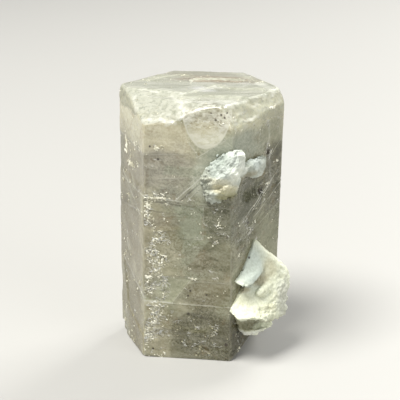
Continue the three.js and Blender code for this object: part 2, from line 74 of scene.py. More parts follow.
# The view: azimuth from the front, elevation, distance from the middle and lens.
VIEW_AZIMUTH = 8.46
VIEW_ELEVATION = 17.48
VIEW_DISTANCE = 234.0
VIEW_MIDDLE = 27.51
VIEW_ASIDE = 0.64
SENSOR = 36.0
LENS = 109.3


def hue(code):
    """A colour such as b3b09c as the linear values that shaders use."""
    parts = [int(code[place:place + 2], 16) / 255 for place in (0, 2, 4)]
    linear = [c / 12.92 if c <= 0.04045 else ((c + 0.055) / 1.055) ** 2.4 for c in parts]
    return (*linear, 1.0)


# Places on the crystal


def smooth(low, high, value):
    share = min(max((value - low) / (high - low), 0), 1)
    return share * share * (3 - 2 * share)


def far_from(place, centre, half):
    """How far a flat place is from a centre, where 1 is on the oval of half sizes."""
    return math.hypot((place[0] - centre[0]) / half[0], (place[1] - centre[1]) / half[1])


def rough(point, size, octaves=3, seed=0):
    """Noise of a feature size in mm, about -1 to 1."""
    spot = point / size + Vector((seed * 7.3, seed * 3.1, seed * 5.7))
    return noise.fractal(spot, 1.0, 2.0, octaves)


def creased(spot, octaves):
    """Noise with sharp crests."""
    total, share = 0.0, 1.0
    for octave in range(octaves):
        total += share * (0.4 - 2 * abs(noise.noise(spot)))
        spot = spot * 2.1 + Vector((5.2, 1.7, 3.1))
        share *= 0.5
    return total


def normal_of(side):
    angle = math.radians(SIDES[side][0])
    return Vector((math.cos(angle), math.sin(angle), 0))


def reach_of(side, z):
    _, base, top = SIDES[side]
    return base + (top - base) * z / HEIGHT


NORMALS = {side: normal_of(side) for side in SIDES}


def across_of(side, point):
    return NORMALS[side].x * point.y - NORMALS[side].y * point.x


def nearest_side(point):
    def out_of(side):
        return NORMALS[side].dot(point) - reach_of(side, point.z)
    side = max(SIDES, key=out_of)
    return side, out_of(side)


def corner_of(z):
    """Where the front and the right front sides meet at a height."""
    first, second = NORMALS["front"], NORMALS["right_front"]
    reach, other = reach_of("front", z), reach_of("right_front", z)
    turn = first.x * second.y - first.y * second.x
    x = (reach * second.y - other * first.y) / turn
    y = (other * first.x - reach * second.x) / turn
    return Vector((x, y, z))


def round_of(point):
    """How far round from the front right upright edge a place is."""
    offset = point - corner_of(point.z)
    left, right = across_of("front", offset), across_of("right_front", offset)
    return left if left + right < 0 else right


# Meshes


def shape_of(mesh):
    shape = bmesh.new()
    shape.from_mesh(mesh)
    return shape


def add(name, data):
    """A new object in the scene."""
    thing = bpy.data.objects.new(name, data)
    bpy.context.scene.collection.objects.link(thing)
    return thing


def piece_of(name, shape):
    """A piece of its own with a shape's mesh."""
    mesh = bpy.data.meshes.new(name)
    shape.to_mesh(mesh)
    shape.free()
    return add(name, mesh)


def piece_from(node, name):
    """A piece with a node's mesh, its loose triangles joined up."""
    shape = shape_of(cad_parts[node].data)
    bmesh.ops.remove_doubles(shape, verts=shape.verts, dist=WELD * MM)
    return piece_of(name, shape)


def remeshed(piece, voxel):
    """The piece's skin made again from squares of one size."""
    modifier = piece.modifiers.new("skin", "REMESH")
    modifier.mode = "VOXEL"
    modifier.voxel_size = voxel * MM
    modifier.use_smooth_shade = True
    graph = bpy.context.evaluated_depsgraph_get()
    mesh = bpy.data.meshes.new_from_object(piece.evaluated_get(graph))
    piece.modifiers.clear()
    piece.data = mesh
    return piece


def relief(piece, height_at):
    """Moves each point of a piece along its normal by height_at(point, normal), in mm."""
    vertices = piece.data.vertices
    normals = [vertex.normal.copy() for vertex in vertices]
    for vertex, normal in zip(vertices, normals):
        vertex.co += normal * height_at(vertex.co / MM, normal) * MM
    piece.data.update()


def terraced(value, steps):
    """A value turned into flat treads with short slopes between them."""
    tread = math.floor(value * steps)
    return (tread + smooth(0.7, 1.0, value * steps - tread)) / steps


# Where each side is broken rather than smooth: centre [across, height], half sizes and
# strength.
BROKEN = {
    "front": [
        ((-6.6, 17), (4.2, 18), 0.95), ((1, 4), (9.5, 5.6), 0.4), ((-7.2, 25), (2.2, 5), 1.2),
        ((-6.8, 8), (2.4, 7), 1.1), ((5.6, 25), (3, 3.6), 0.5), ((-4, 42.6), (3.4, 2.6), 0.3),
        ((-5, 31.6), (4, 2), 0.8), ((4.2, 46), (3.4, 1.4), 0.2),
    ],
    "left_front": [
        ((2, 38), (3.4, 4), 0.15), ((0, 4), (7, 5), 0.25),
    ],
    "right_front": [
        ((-2.4, 25), (3.4, 4), 0.7), ((2.6, 32), (3, 3), 0.4), ((3, 39), (2, 2), 0.6),
        ((0, 45), (8, 2), 0.2), ((-5, 3), (4, 4), 0.12),
    ],
    "right_back": [
        ((2, 6), (7, 6), 0.5), ((-4, 30), (3, 9), 0.6),
    ],
    "back": [
        ((-4, 5), (6, 6), 0.7), ((5.6, 24), (2.6, 11), 0.7),
    ],
    "left_back": [
        ((-2, 6), (5, 5), 0.7), ((-5.6, 26), (2.2, 12), 0.7),
    ],
}


def brokenness(side, across, point):
    share = 0.0
    for centre, half, strength in BROKEN[side]:
        far = far_from((across, point.z), centre, half)
        share = max(share, strength * smooth(1.15, 0.55, far))
    return share * smooth(-0.45, 0.15, rough(point, 3.2, seed=4))


# Where frost starts below the top on each side, in height, and how thick it is there.
FROST_LINES = {
    "right_back": (47, 0.5),
    "back": (46.6, 0.6),
    "left_back": (46.4, 0.7),
    "left_front": (46.4, 0.8),
    "front": (46.3, 1.0),
    "right_front": (45.2, 0.6),
}


def frosting(point, normal):
    """How icy a point is: the broken slope at the front left, and a band under the rim."""
    side, out = nearest_side(point)
    line, thickness = FROST_LINES[side]
    ragged = point.z + 0.9 * rough(point, 2.4, seed=12)
    band = thickness * smooth(line, line + 0.5, ragged)
    slope = smooth(0.3, 0.6, normal.z) * smooth(0.99, 0.95, normal.z)
    share = max(band, slope * smooth(44.2, 45.2, ragged)) * smooth(1.0, 0.96, normal.z)
    if side == "front":
        share *= 0.45 + 0.55 * smooth(2.5, -1.5, point.x + 0.5 * rough(point, 2, seed=12))
    return share


# How the threads in each side slant up to the right, in degrees, and those on the top.
THREAD_SLANTS = {
    "right_back": -34,
    "back": 26,
    "left_back": 42,
    "left_front": -50,
    "front": -12,
    "right_front": 37,
}
TOP_SLANT = 14
TOP_FACING = 0.55

# The threads of each side, and those of the top, are drawn on sheets of their own.
SHEET_GAP = 9
TOP_SHEET = 70


def turned(first, second, slant):
    """A place along and across a direction that slants up to the right, in degrees."""
    angle = math.radians(slant)
    along = first * math.cos(angle) + second * math.sin(angle)
    return along, second * math.cos(angle) - first * math.sin(angle)


def thread_place(point, normal):
    """A point's place [along the threads, across them, side], in mm."""
    if normal.z > TOP_FACING:
        return Vector((*turned(point.x, point.y, TOP_SLANT), TOP_SHEET))
    side, out = nearest_side(point)
    sheet = list(SIDES).index(side) * SHEET_GAP
    return Vector((*turned(across_of(side, point), point.z, THREAD_SLANTS[side]), sheet))


def crystal_relief(point, normal):
    """How far a point of the crystal moves out, how broken it is and how frosted."""
    side, out = nearest_side(point)
    across = across_of(side, point)
    frost = frosting(point, normal)
    broken = brokenness(side, across, point) * smooth(0.5, 0.2, normal.z)
    height = 0.05 * rough(point, 6)
    ledge = noise.noise(Vector((across * 0.12, point.z * 0.9, SIDES[side][0])))
    height += 0.06 * terraced(ledge, 5) * (0.4 + broken)
    scale = Vector((point.x * 0.8, point.y * 0.8, point.z * 1.4))
    height += 0.2 * broken * terraced(rough(scale, 1.7, 3, seed=6), 3)
    height += 0.15 * frost * creased(point / 1.9, 4)
    return height, broken, frost


# Each side's clouded patches: centre [across, height], half sizes, raggedness, softness,
# colour and strength. They are laid over each other in this order. The darkest ones low
# on the front and right front are painted shade.
CLOUDS = {
    "left_front": [
        ((0, 46), (12, 5.6), 0.6, 0.5, "f2eed8", 0.92),
        ((-3, 35), (5, 7), 0.9, 0.4, "6f644a", 0.9),
        ((6.4, 36), (4, 5), 0.9, 0.4, "6c634f", 0.85),
        ((5, 24), (5, 9), 0.9, 0.4, "5f543a", 0.9),
        ((-4, 22), (4.4, 10), 0.9, 0.4, "5b5136", 0.88),
        ((1, 8), (8, 8), 0.9, 0.4, "70653e", 0.85),
        ((4, 3), (5, 4), 0.9, 0.4, "6e623a", 0.7),
    ],
    "front": [
        ((-6.8, 23), (2.8, 26), 0.6, 0.5, "c8c3ab", 0.85),
        ((-4.2, 42.8), (6.6, 4.2), 0.5, 0.3, "e6dec6", 0.9),
        ((-3, 37.5), (6, 4), 0.8, 0.4, "a4a09a", 0.8),
        ((1.6, 35), (2.6, 2.6), 0.8, 0.4, "8f8f80", 0.6),
        ((2.5, 25), (4.6, 8), 0.7, 0.4, "7f8675", 0.75),
        ((6.4, 28.5), (3.6, 5), 0.7, 0.3, "585b4d", 0.85),
        ((5.8, 20.5), (2.8, 5), 0.8, 0.4, "6d6b58", 0.7),
        ((3.1, 36.2), (2.3, 3.8), 0.9, 0.4, "d0d6cb", 0.85),
        ((-2, 32.4), (3.4, 2), 0.8, 0.4, "8a8a86", 0.7),
        ((-3.6, 27), (3.8, 2.2), 0.9, 0.4, "928776", 0.6),
        ((-0.4, 28.4), (2.4, 2.6), 0.8, 0.4, "787969", 0.6),
        ((-3.4, 22.6), (3.2, 2.4), 0.9, 0.3, "a39d86", 0.6),
        ((6, 40.6), (3.4, 3.2), 0.6, 0.5, "a4afa6", 0.8),
        ((2.4, 20.4), (3, 2.4), 0.8, 0.3, "756b57", 0.6),
        ((4.4, 13.6), (4.4, 2.4), 0.7, 0.3, "7b735b", 0.7),
        ((2.2, 11.4), (3.4, 1.4), 0.7, 0.3, "6c6650", 0.7),
        # Painted shade: darker towards the base.
        ((2.8, 5), (6.8, 4.8), 0.7, 0.3, "3b3722", 0.95),
        ((-4.8, 5), (3.2, 4.6), 0.7, 0.4, "a79f84", 0.6),
    ],
    "right_front": [
        ((0, 46.6), (11, 3), 0.6, 0.4, "f8f4da", 0.95),
        ((-3.6, 41.6), (6, 3), 0.8, 0.5, "b9c2b8", 0.85),
        ((4.4, 43), (5, 2.6), 0.9, 0.5, "a7a996", 0.85),
        ((5.4, 35), (4, 5.6), 0.8, 0.4, "33352b", 0.92),
        ((-2.6, 31.6), (5, 4), 0.7, 0.3, "3e4239", 0.88),
        ((-3.6, 25.4), (4.6, 3.6), 0.7, 0.4, "63675b", 0.7),
        ((4.5, 23), (4.6, 5), 0.7, 0.4, "858874", 0.6),
        ((5.8, 29), (3, 3.4), 0.8, 0.4, "414338", 0.75),
        # Painted shade: darkest at the base of the right front.
        ((-5, 3.4), (5, 6), 0.5, 0.4, "1f1a0c", 0.97),
    ],
    "right_back": [
        ((0, 46), (11, 4.6), 0.6, 0.5, "f0ead2", 0.9),
        ((-5.6, 28), (3, 18), 0.9, 0.5, "cdc8b0", 0.8),
        ((3, 37), (6, 4), 0.8, 0.4, "8f8470", 0.75),
        ((3, 29), (5, 5), 0.8, 0.4, "474c41", 0.9),
        ((2, 17), (5, 5), 0.9, 0.4, "b9b096", 0.8),
        ((2, 7), (8, 5), 0.7, 0.3, "4c4429", 0.9),
    ],
    "back": [
        ((0, 45.4), (11, 5), 0.6, 0.5, "ece5cc", 0.9),
        ((-6.4, 24), (3, 20), 0.7, 0.5, "d3ceb7", 0.85),
        ((2, 36), (6, 4), 0.8, 0.4, "928873", 0.75),
        ((2.6, 25), (5, 7), 0.8, 0.4, "4a5045", 0.9),
        ((-1, 14.6), (5, 3), 0.8, 0.4, "c2bca1", 0.8),
        ((3, 7), (7, 5), 0.7, 0.3, "50482b", 0.9),
    ],
    "left_back": [
        ((0, 45.4), (11, 5), 0.6, 0.5, "ece5cc", 0.9),
        ((-5.8, 26), (3, 20), 0.7, 0.5, "cfcab2", 0.85),
        ((2, 36), (6, 4), 0.8, 0.4, "968c77", 0.75),
        ((3, 26), (5, 6), 0.8, 0.4, "50564a", 0.9),
        ((3, 16), (5, 4), 0.9, 0.4, "b2a98c", 0.8),
        ((-1, 7), (8, 5), 0.7, 0.3, "544b2e", 0.9),
    ],
}

# Straight-edged panes: anticlockwise corners [across, height], colour and strength.
PANES = {
    "front": [
        ([(-9, 11.5), (-2.65, 11.4), (1.35, 16.8), (-9, 16.2)], "bcc0a8", 0.6),
        ([(-2.4, 30.8), (-0.4, 24.2), (3.1, 24.2), (3.4, 30.6)], "97a08f", 0.6),
        ([(-1.2, 20.2), (0.2, 18.4), (4.4, 24.2), (-0.4, 24.2)], "9aa392", 0.4),
        ([(2.4, 39.9), (7.9, 43.6), (8, 46), (0, 46), (0.4, 43.1)], "b9bba6", 0.55),
        ([(-3.4, -1), (8.8, -1), (8.8, 8.6), (2.6, 9.9), (0.2, 9.7), (-1.4, 8.6),
          (-2.9, 6.6)], "5d5a42", 0.6),
        ([(-4.2, 36.3), (2.6, 36), (3, 38), (-3.6, 38.2)], "a3ad9c", 0.4),
    ],
    "left_front": [
        ([(-9, 33), (9, 32.4), (9, 40), (-9, 41)], "857b6b", 0.45),
        ([(-9, 16), (9, 11.8), (9, 28), (-9, 27)], "948a75", 0.4),
        ([(-9, 41.5), (2, 37.5), (5, 43), (-9, 46.4)], "c6c0a8", 0.4),
    ],
    "right_front": [
        ([(-9, 29), (-2, 27.8), (8.6, 35), (8.6, 31), (-9, 19)], "7d8170", 0.4),
        ([(-1, 19), (8.6, 17), (8.6, 29), (3, 27)], "969a84", 0.45),
    ],
    "right_back": [
        ([(-8, 22.4), (8, 20.4), (8, 31), (-2, 36)], "b4bbaa", 0.6),
        ([(-9, 9), (0, 9.2), (4, 14), (-9, 14.6)], "d6d9c4", 0.7),
        ([(0, 37.6), (9, 36), (9, 42.6), (4, 43)], "686a59", 0.6),
    ],
    "back": [
        ([(-8, 14), (3, 12.4), (8, 19), (8, 27), (-8, 26)], "b8bea9", 0.6),
        ([(-2, 29.6), (0.4, 22.6), (4, 22.8), (4.4, 29.4)], "a9b3a2", 0.6),
        ([(-9, 34), (2, 33), (5, 39), (-9, 41)], "dcd8c3", 0.6),
    ],
    "left_back": [
        ([(-8, 18), (8, 19.6), (3, 30), (-8, 33)], "bcc0ac", 0.6),
        ([(-9, 7), (1, 7.4), (4, 12.6), (-9, 12)], "d4d8c2", 0.7),
        ([(1, 34), (9, 33.4), (9, 41), (4, 42.4)], "6a6c5a", 0.6),
    ],
}

# How far in from its side a patch of colour still shows, where it turns an edge.
REACH_IN = 3.0
PANE_SOFTNESS = 0.2


def linear(code):
    return Vector(hue(code)[:3])


def side_places(point):
    """A point's place [across, out from the side, height] by each side it is near."""
    places = {}
    for side, normal in NORMALS.items():
        out = normal.dot(point) - reach_of(side, point.z)
        if out > -REACH_IN:
            places[side] = Vector((across_of(side, point), out, point.z))
    return places


def pane_share(place, corners):
    share = smooth(-REACH_IN, 1 - REACH_IN, place.y)
    for corner, after in zip(corners, corners[1:] + corners[:1]):
        run, rise = after[0] - corner[0], after[1] - corner[1]
        inward = (place.z - corner[1]) * run - (place.x - corner[0]) * rise
        share = min(share, smooth(0, PANE_SOFTNESS, inward / math.hypot(run, rise)))
    return share


def painted(point):
    """The colour of a point's clouds and panes, laid over each other."""
    soft = side_places(point + 0.7 * noise.noise_vector(point / 3.3))
    crisp = side_places(point + 0.12 * noise.noise_vector(point / 1.6))
    wander = 0.4 * rough(point, 2.9, 4, seed=30)
    colour = linear("8f8f79").lerp(linear("b4b19a"), smooth(-0.4, 0.4, rough(point, 7, 4)))
    for side in [side for side in CLOUDS if side in soft]:
        place = soft[side]
        for centre, half, ragged, softness, code, strength in CLOUDS[side]:
            flat = far_from((place.x, place.z), centre, half)
            far = math.hypot(flat, place.y / REACH_IN) + ragged * wander
            share = smooth(1 + softness, 1 - softness, far)
            colour = colour.lerp(linear(code), strength * share)
    for side in [side for side in PANES if side in crisp]:
        for corners, code, strength in PANES[side]:
            share = pane_share(crisp[side], corners)
            colour = colour.lerp(linear(code), strength * share)
    return colour


# Ragged white streaks round the top, all of them above one height: frost, and a painted
# highlight along the front rim and a ledge of the top. Points [x, y, z] along each, half
# width and strength.
STREAKS = [
    ([(-8.4, -12.3, 46.2), (-6, -13.4, 46.3), (-3.6, -14, 46.1), (-1.9, -14, 45.9),
      (-0.7, -14, 46.7)], 0.6, 0.8),
    ([(-0.7, -13.6, 47), (-0.8, -12.2, 48.1), (-2.1, -9.6, 49.1), (-3.1, -7.1, 49.6)], 0.75, 0.9),
    ([(-11.1, -4.1, 49.7), (-8.9, -4, 49.7), (-5.7, -5.1, 49.6), (-1.6, -7, 49.6)], 0.4, 0.9),
    ([(-11, -4.9, 49.6), (-10.1, -8.3, 48), (-9.3, -10.6, 46.8), (-8.2, -12.5, 46.2)], 0.5, 0.6),
    ([(-9, -6.6, 49), (-6.8, -7.4, 49), (-4, -7.6, 49.2)], 0.3, 0.6),
    ([(-7.8, -11, 47.2), (-5.6, -12.2, 47), (-3, -12.6, 47.4)], 0.35, 0.6),
    ([(-1.6, -7, 49.6), (-0.6, -4.2, 50), (1, -2.2, 50), (3.3, 0.6, 49.9), (6, -0.3, 49.9),
      (8.2, -0.2, 50), (10.1, 2.7, 50), (11.2, 4.7, 50)], 0.34, 1.0),
    ([(-1.1, -9.1, 49.2), (1.2, -9.6, 49.2), (3.9, -10, 49.2), (6.6, -9.6, 49.2),
      (8.5, -10.1, 49.2)], 1.3, 0.9),
    ([(2.4, -11.8, 49), (5.1, -12.2, 49.2), (8.4, -10.8, 49)], 0.6, 0.8),
    ([(11.2, 4.7, 50), (13.4, -0.4, 50), (14.3, -2.1, 49.6)], 0.9, 0.7),
    ([(13.7, -3.1, 49.5), (12.8, -5.2, 48.4), (11.3, -7.8, 47.9), (10.4, -9.3, 47.2),
      (8.9, -12.4, 46.3), (8.6, -13.5, 45.6), (9.7, -12.4, 44.7), (10.7, -10.6, 44.8),
      (11.5, -9.4, 45.3)], 0.34, 0.8),
    ([(9.7, -12.2, 45.2), (13, -6.5, 46.9), (16.2, -1.3, 47.9)], 0.3, 0.6),
    ([(10.8, -10.8, 43.9), (13.4, -6, 44.6), (16.3, -1.2, 45)], 0.22, 0.5),
    ([(12.4, -7.6, 43.6), (16.3, -1.2, 43.9)], 0.2, 0.45),
    ([(-9.9, 2.6, 49.8), (-6, 4.4, 49.8), (-2, 3.4, 49.8), (2.4, 5, 49.9)], 0.3, 0.5),
    ([(4.4, -3, 49.9), (8.6, -3.4, 49.9), (12.4, -1.4, 49.9)], 0.25, 0.5),
]

STREAKS_ABOVE = 42


def streak_and_highlight_share(point):
    """How white a point is made by the streaks round the top, frost and painted highlight."""
    if point.z < STREAKS_ABOVE:
        return 0.0
    spot = point + 1.1 * noise.noise_vector(point / 3.4) + 0.4 * noise.noise_vector(point / 1.2)
    ragged = 0.8 * rough(point, 1.1, 3, seed=40)
    share = 0.0
    for points, half, strength in STREAKS:
        for start, end in zip(points, points[1:]):
            run = Vector(end) - Vector(start)
            along = (spot - Vector(start)).dot(run) / run.length_squared
            away = (spot - Vector(start) - run * min(max(along, 0), 1)).length
            share = max(share, strength * smooth(1.2, 0.4, away / half + ragged))
    return share


def edge_highlight_shares(mesh):
    """How far each point of a mesh stands out from its neighbours, 0 to 1, for a painted edge
    highlight.
    """
    sums = [Vector() for _ in mesh.vertices]
    counts = [0] * len(mesh.vertices)
    for edge in mesh.edges:
        first, second = edge.vertices
        sums[first] += mesh.vertices[second].co
        sums[second] += mesh.vertices[first].co
        counts[first] += 1
        counts[second] += 1
    shares = []
    for vertex, total, count in zip(mesh.vertices, sums, counts):
        proud = (vertex.co - total / count).dot(vertex.normal) / MM
        shares.append(smooth(0.012, 0.05, proud))
    return shares


def worn_round(piece, above, passes):
    """Rounds off the edges of a piece above a height in mm."""
    shape = shape_of(piece.data)
    high = [vertex for vertex in shape.verts if vertex.co.z / MM > above]
    for _ in range(passes):
        bmesh.ops.smooth_vert(shape, verts=high, factor=0.5, use_axis_x=True,
                              use_axis_y=True, use_axis_z=True)
    shape.to_mesh(piece.data)
    shape.free()


def build_crystal():
    """The crystal's skin, with what its material needs to know kept at each point."""
    crystal = remeshed(piece_from("apatite_crystal", "clear_crystal"), CRYSTAL_VOXEL)
    worn_round(crystal, -1, EDGE_PASSES)
    worn_round(crystal, RIM, RIM_PASSES)
    for name in ("broken", "frost", "top", "edge", "white"):
        crystal.data.attributes.new(name, "FLOAT", "POINT")
    for name in ("threads", "paint"):
        crystal.data.attributes.new(name, "FLOAT_VECTOR", "POINT")
    masks = crystal.data.attributes
    vertices = crystal.data.vertices
    shares = edge_highlight_shares(crystal.data)
    normals = [vertex.normal.copy() for vertex in vertices]
    for vertex, normal, edge in zip(vertices, normals, shares):
        point = vertex.co / MM
        height, broken, frost = crystal_relief(point, normal)
        values = {
            "broken": broken,
            "frost": frost,
            "top": smooth(0.6, 0.9, normal.z) * smooth(46, 48.5, point.z),
            # Painted highlight along the convex edges, weaker near the top.
            "edge": edge * (1 - 0.6 * smooth(43, 46, point.z)),
            "white": streak_and_highlight_share(point),
        }
        for name, value in values.items():
            masks[name].data[vertex.index].value = value
        masks["threads"].data[vertex.index].vector = thread_place(point, normal)
        masks["paint"].data[vertex.index].vector = painted(point)
        vertex.co += normal * height * MM
    crystal.data.update()
    return crystal


# Single bright chips, painted glints: centre [across, height] and half sizes.
GLEAMS = {
    "left_front": [
        ((-2.6, 39.3), (0.5, 1.2)), ((-3.2, 37.8), (0.7, 0.25)), ((0.2, 36), (1.3, 0.4)),
    ],
    "front": [
        ((-5.4, 31.9), (1.9, 0.2)), ((-6.9, 30.4), (0.5, 0.8)), ((-5.2, 41.3), (0.5, 0.3)),
        ((-7, 16.4), (0.8, 0.3)), ((1.4, 16.4), (0.6, 0.2)),
    ],
    "right_front": [
        ((3.3, 32.9), (0.6, 0.2)), ((6.1, 36.6), (0.5, 0.2)), ((4.4, 47.2), (1.4, 0.2)),
    ],
    "left_back": [((2, 30), (1.4, 0.3))],
    "back": [((-3, 20), (1.2, 0.3))],
    "right_back": [((1, 34), (1.4, 0.3))],
}


def fleck_share(point, normal):
    """Over 0 where a chip has broken open and gleams, for the pale flakes that paint its glint.
    """
    side, out = nearest_side(point)
    across = across_of(side, point)
    broken = brokenness(side, across, point) * smooth(0.5, 0.3, normal.z)
    place = thread_place(point, normal)
    place += 0.3 * noise.noise_vector(place / 0.7)
    glint = noise.noise(Vector((place.x * 2.2, place.y * 4.6, place.z)))
    arc = 0.08 - 3.4 * abs(noise.noise(Vector((place.x, place.y * 1.9, place.z + 4))))
    single = noise.noise(place * 1.5 + Vector((3, 8, 0))) - 0.9 - smooth(0.4, 0.5, normal.z)
    cluster = rough(place, 1.7, 3, seed=21)
    gleam = -1.0
    for centre, half in GLEAMS[side]:
        far = far_from((across, point.z), centre, half)
        gleam = max(gleam, 0.5 * (1 - far) + 0.9 * glint)
    return max(gleam, single, max(glint - 0.2, arc) - max(0, 0.86 - 0.9 * broken - cluster))


FLAKE_LIFT = 0.05
FLAKE_THICKNESS = 0.1
# The share from which a place is looked at more closely for a flake.
FLAKE_NEARLY = -0.16


def build_flakes(crystal):
    """Thin pale flakes where the sides are chipped, as painted glints."""
    shape = shape_of(crystal.data)

    def cut(limit):
        bare = [face for face in shape.faces
                if fleck_share(face.calc_center_median() / MM, face.normal) < limit]
        bmesh.ops.delete(shape, geom=bare, context="FACES")

    cut(FLAKE_NEARLY)
    bmesh.ops.subdivide_edges(shape, edges=shape.edges[:], cuts=2, use_grid_fill=True)
    cut(0.0)
    shape.normal_update()
    for vertex in shape.verts:
        vertex.co += vertex.normal * FLAKE_LIFT * MM
    bmesh.ops.solidify(shape, geom=shape.faces[:], thickness=FLAKE_THICKNESS * MM)
    bmesh.ops.recalc_face_normals(shape, faces=shape.faces[:])
    return piece_of("bright_flakes", shape)


# A growth's back lies within GAP_REACH of a side, and is moved in by GAP_CLOSED.
GAP_REACH = 0.36
GAP_CLOSED = 0.55


def sink_back(piece):
    """Closes a growth's gap to the crystal, by moving its back in past the side."""
    for vertex in piece.data.vertices:
        side, out = nearest_side(vertex.co / MM)
        if out < GAP_REACH:
            vertex.co -= NORMALS[side] * GAP_CLOSED * MM
    piece.data.update()


def fluted(point, slant, width, length, seed):
    """Ridges that run up to the right at a slant, in degrees, along a growth's skin."""
    along, across = turned(round_of(point), point.z, slant)
    return creased(Vector((across / width, along / length, seed)), 3)


def patch_relief(point, normal):
    """Fine flutes on the slab, icy steps at its left end, and a longer ragged lower lip."""
    icy = smooth(-3, -4.4, round_of(point))
    flutes = 0.11 * fluted(point, 54, 0.5, 3.4, 3.3) * (1 - 0.5 * icy)
    steps = 0.34 * icy * terraced(rough(point, 0.7, 3, seed=14), 3)
    crumbs = (0.06 + 0.12 * smooth(36.4, 34.6, point.z)) * rough(point, 0.55, 3, seed=3)
    lip = 0.5 * smooth(0, -0.7, normal.z) * smooth(34.8, 33.6, point.z)
    blocks = 0.36 * terraced(rough(point, 1.9, 2, seed=9), 3)
    return flutes + steps + lip + crumbs + blocks + 0.07 * creased(point / 0.6, 3)


def flange_relief(point, normal):
    """Smooth on the blade and inside the shell, and crumbly towards its rim."""
    side, out = nearest_side(point)
    rim = smooth(2.6, 4.6, out) * 0.7 + smooth(8.4, 6.4, point.z) * 0.8
    blade = smooth(14.5, 16, point.z) * smooth(2.4, 1.6, out)
    lumps = creased(point / 2.2, 4)
    crumbs = rough(point, 0.6, 4, seed=8)
    frayed = 0.3 * smooth(13.8, 14.4, point.z) * smooth(16.2, 15.2, point.z)
    frayed *= smooth(2.6, 1.8, out)
    ragged = (0.06 + 0.2 * rim) * (1 - 0.6 * blade) + frayed
    blocks = 0.34 * min(rim, 1) * terraced(rough(point, 1.3, 2, seed=17), 3)
    return (0.06 + 0.16 * rim) * lumps + ragged * crumbs + blocks


def build_growth(node, name, height_at):
    growth = remeshed(piece_from(node, name), MATRIX_VOXEL)
    relief(growth, height_at)
    sink_back(growth)
    return growth


# Materials


def fill(tree, node, inputs):
    """Sets a node's inputs to values, or links them to sockets."""
    for key, value in inputs.items():
        if isinstance(value, bpy.types.NodeSocket):
            tree.links.new(value, node.inputs[key])
        else:
            node.inputs[key].default_value = value


def put(tree, kind, inputs=None, **settings):
    """A new node with its settings and its inputs."""
    node = tree.nodes.new(kind)
    for name, value in settings.items():
        setattr(node, name, value)
    fill(tree, node, inputs or {})
    return node


def maths(tree, operation, first, second=0.0):
    inputs = {0: first, 1: second}
    return put(tree, "ShaderNodeMath", inputs, operation=operation).outputs[0]


def product(tree, first, second):
    return maths(tree, "MULTIPLY", first, second)


def vectors(tree, operation, first, second=(0, 0, 0), output="Vector"):
    inputs = {0: first, 1: second}
    return put(tree, "ShaderNodeVectorMath", inputs, operation=operation).outputs[output]


def scaled_by(tree, vector, scale):
    inputs = {0: vector, "Scale": scale}
    return put(tree, "ShaderNodeVectorMath", inputs, operation="SCALE").outputs[0]


def blend_of(tree, share, first, second):
    inputs = {0: share, 6: first, 7: second}
    return put(tree, "ShaderNodeMix", inputs, data_type="RGBA").outputs[2]


def ramp_of(tree, value, low, high, start=0.0, end=1.0):
    inputs = {"Value": value, "From Min": low, "From Max": high, "To Min": start, "To Max": end}
    return put(tree, "ShaderNodeMapRange", inputs, interpolation_type="SMOOTHSTEP").outputs[0]


def noise_of(tree, vector, scale, detail=3.0, roughness=0.55, distortion=0.0):
    labels = ("Vector", "Scale", "Detail", "Roughness", "Distortion")
    values = (vector, scale, detail, roughness, distortion)
    return put(tree, "ShaderNodeTexNoise", dict(zip(labels, values))).outputs[0]


def new_material(name):
    material = bpy.data.materials.new(name)
    material.use_nodes = True
    tree = material.node_tree
    shader = tree.nodes["Principled BSDF"]
    place = tree.nodes.new("ShaderNodeTexCoord").outputs["Object"]
    millimetres = put(tree, "ShaderNodeMapping", {"Vector": place, "Scale": (1000,) * 3})
    return material, tree, shader, millimetres.outputs[0]


def side_view(tree, place, side):
    """A side's own coordinates in mm: X across it, Y into it from its face, Z up."""
    angle, base, top = SIDES[side]
    inputs = {
        "Vector": place,
        "Rotation": (0, 0, -math.radians(angle + 90)),
        "Location": (0, (base + top) / 2, 0),
    }
    return put(tree, "ShaderNodeMapping", inputs).outputs[0]


def new_group(name, places, numbers, outputs):
    """An empty shader group: its tree, its input sockets and its output node."""
    tree = bpy.data.node_groups.new(name, "ShaderNodeTree")
    for labels, way, kind in ((places, "INPUT", "Vector"), (numbers, "INPUT", "Float"),
                              (outputs, "OUTPUT", "Float")):
        for label in labels:
            tree.interface.new_socket(label, in_out=way, socket_type="NodeSocket" + kind)
    entry = tree.nodes.new("NodeGroupInput")
    return tree, entry.outputs, tree.nodes.new("NodeGroupOutput")


def blot_group():
    """A round patch with a ragged edge, and the thin rim round it."""
    places, numbers = ("Vector", "Centre", "Radii"), ("Raggedness", "Softness")
    tree, given, exit_node = new_group("blot", places, numbers, ("Patch", "Rim"))
    offset = vectors(tree, "SUBTRACT", given["Vector"], given["Centre"])
    scaled = vectors(tree, "DIVIDE", offset, given["Radii"])
    far = vectors(tree, "LENGTH", scaled, output="Value")
    wander = maths(tree, "SUBTRACT", noise_of(tree, given["Vector"], 0.35, 4, 0.6), 0.5)
    wander = product(tree, wander, given["Raggedness"])
    distance = maths(tree, "ADD", far, wander)
    outer = maths(tree, "ADD", 1.0, given["Softness"])
    inner = maths(tree, "SUBTRACT", 1.0, given["Softness"])
    patch = ramp_of(tree, distance, outer, inner)
    edge = maths(tree, "ABSOLUTE", maths(tree, "SUBTRACT", distance, 1.0))
    fill(tree, exit_node, {"Patch": patch, "Rim": ramp_of(tree, edge, 0.045, 0.0)})
    return tree


# How much a place's depth below its side counts in its distance from a crack.
SEAM_DEPTH_SHARE = 0.12


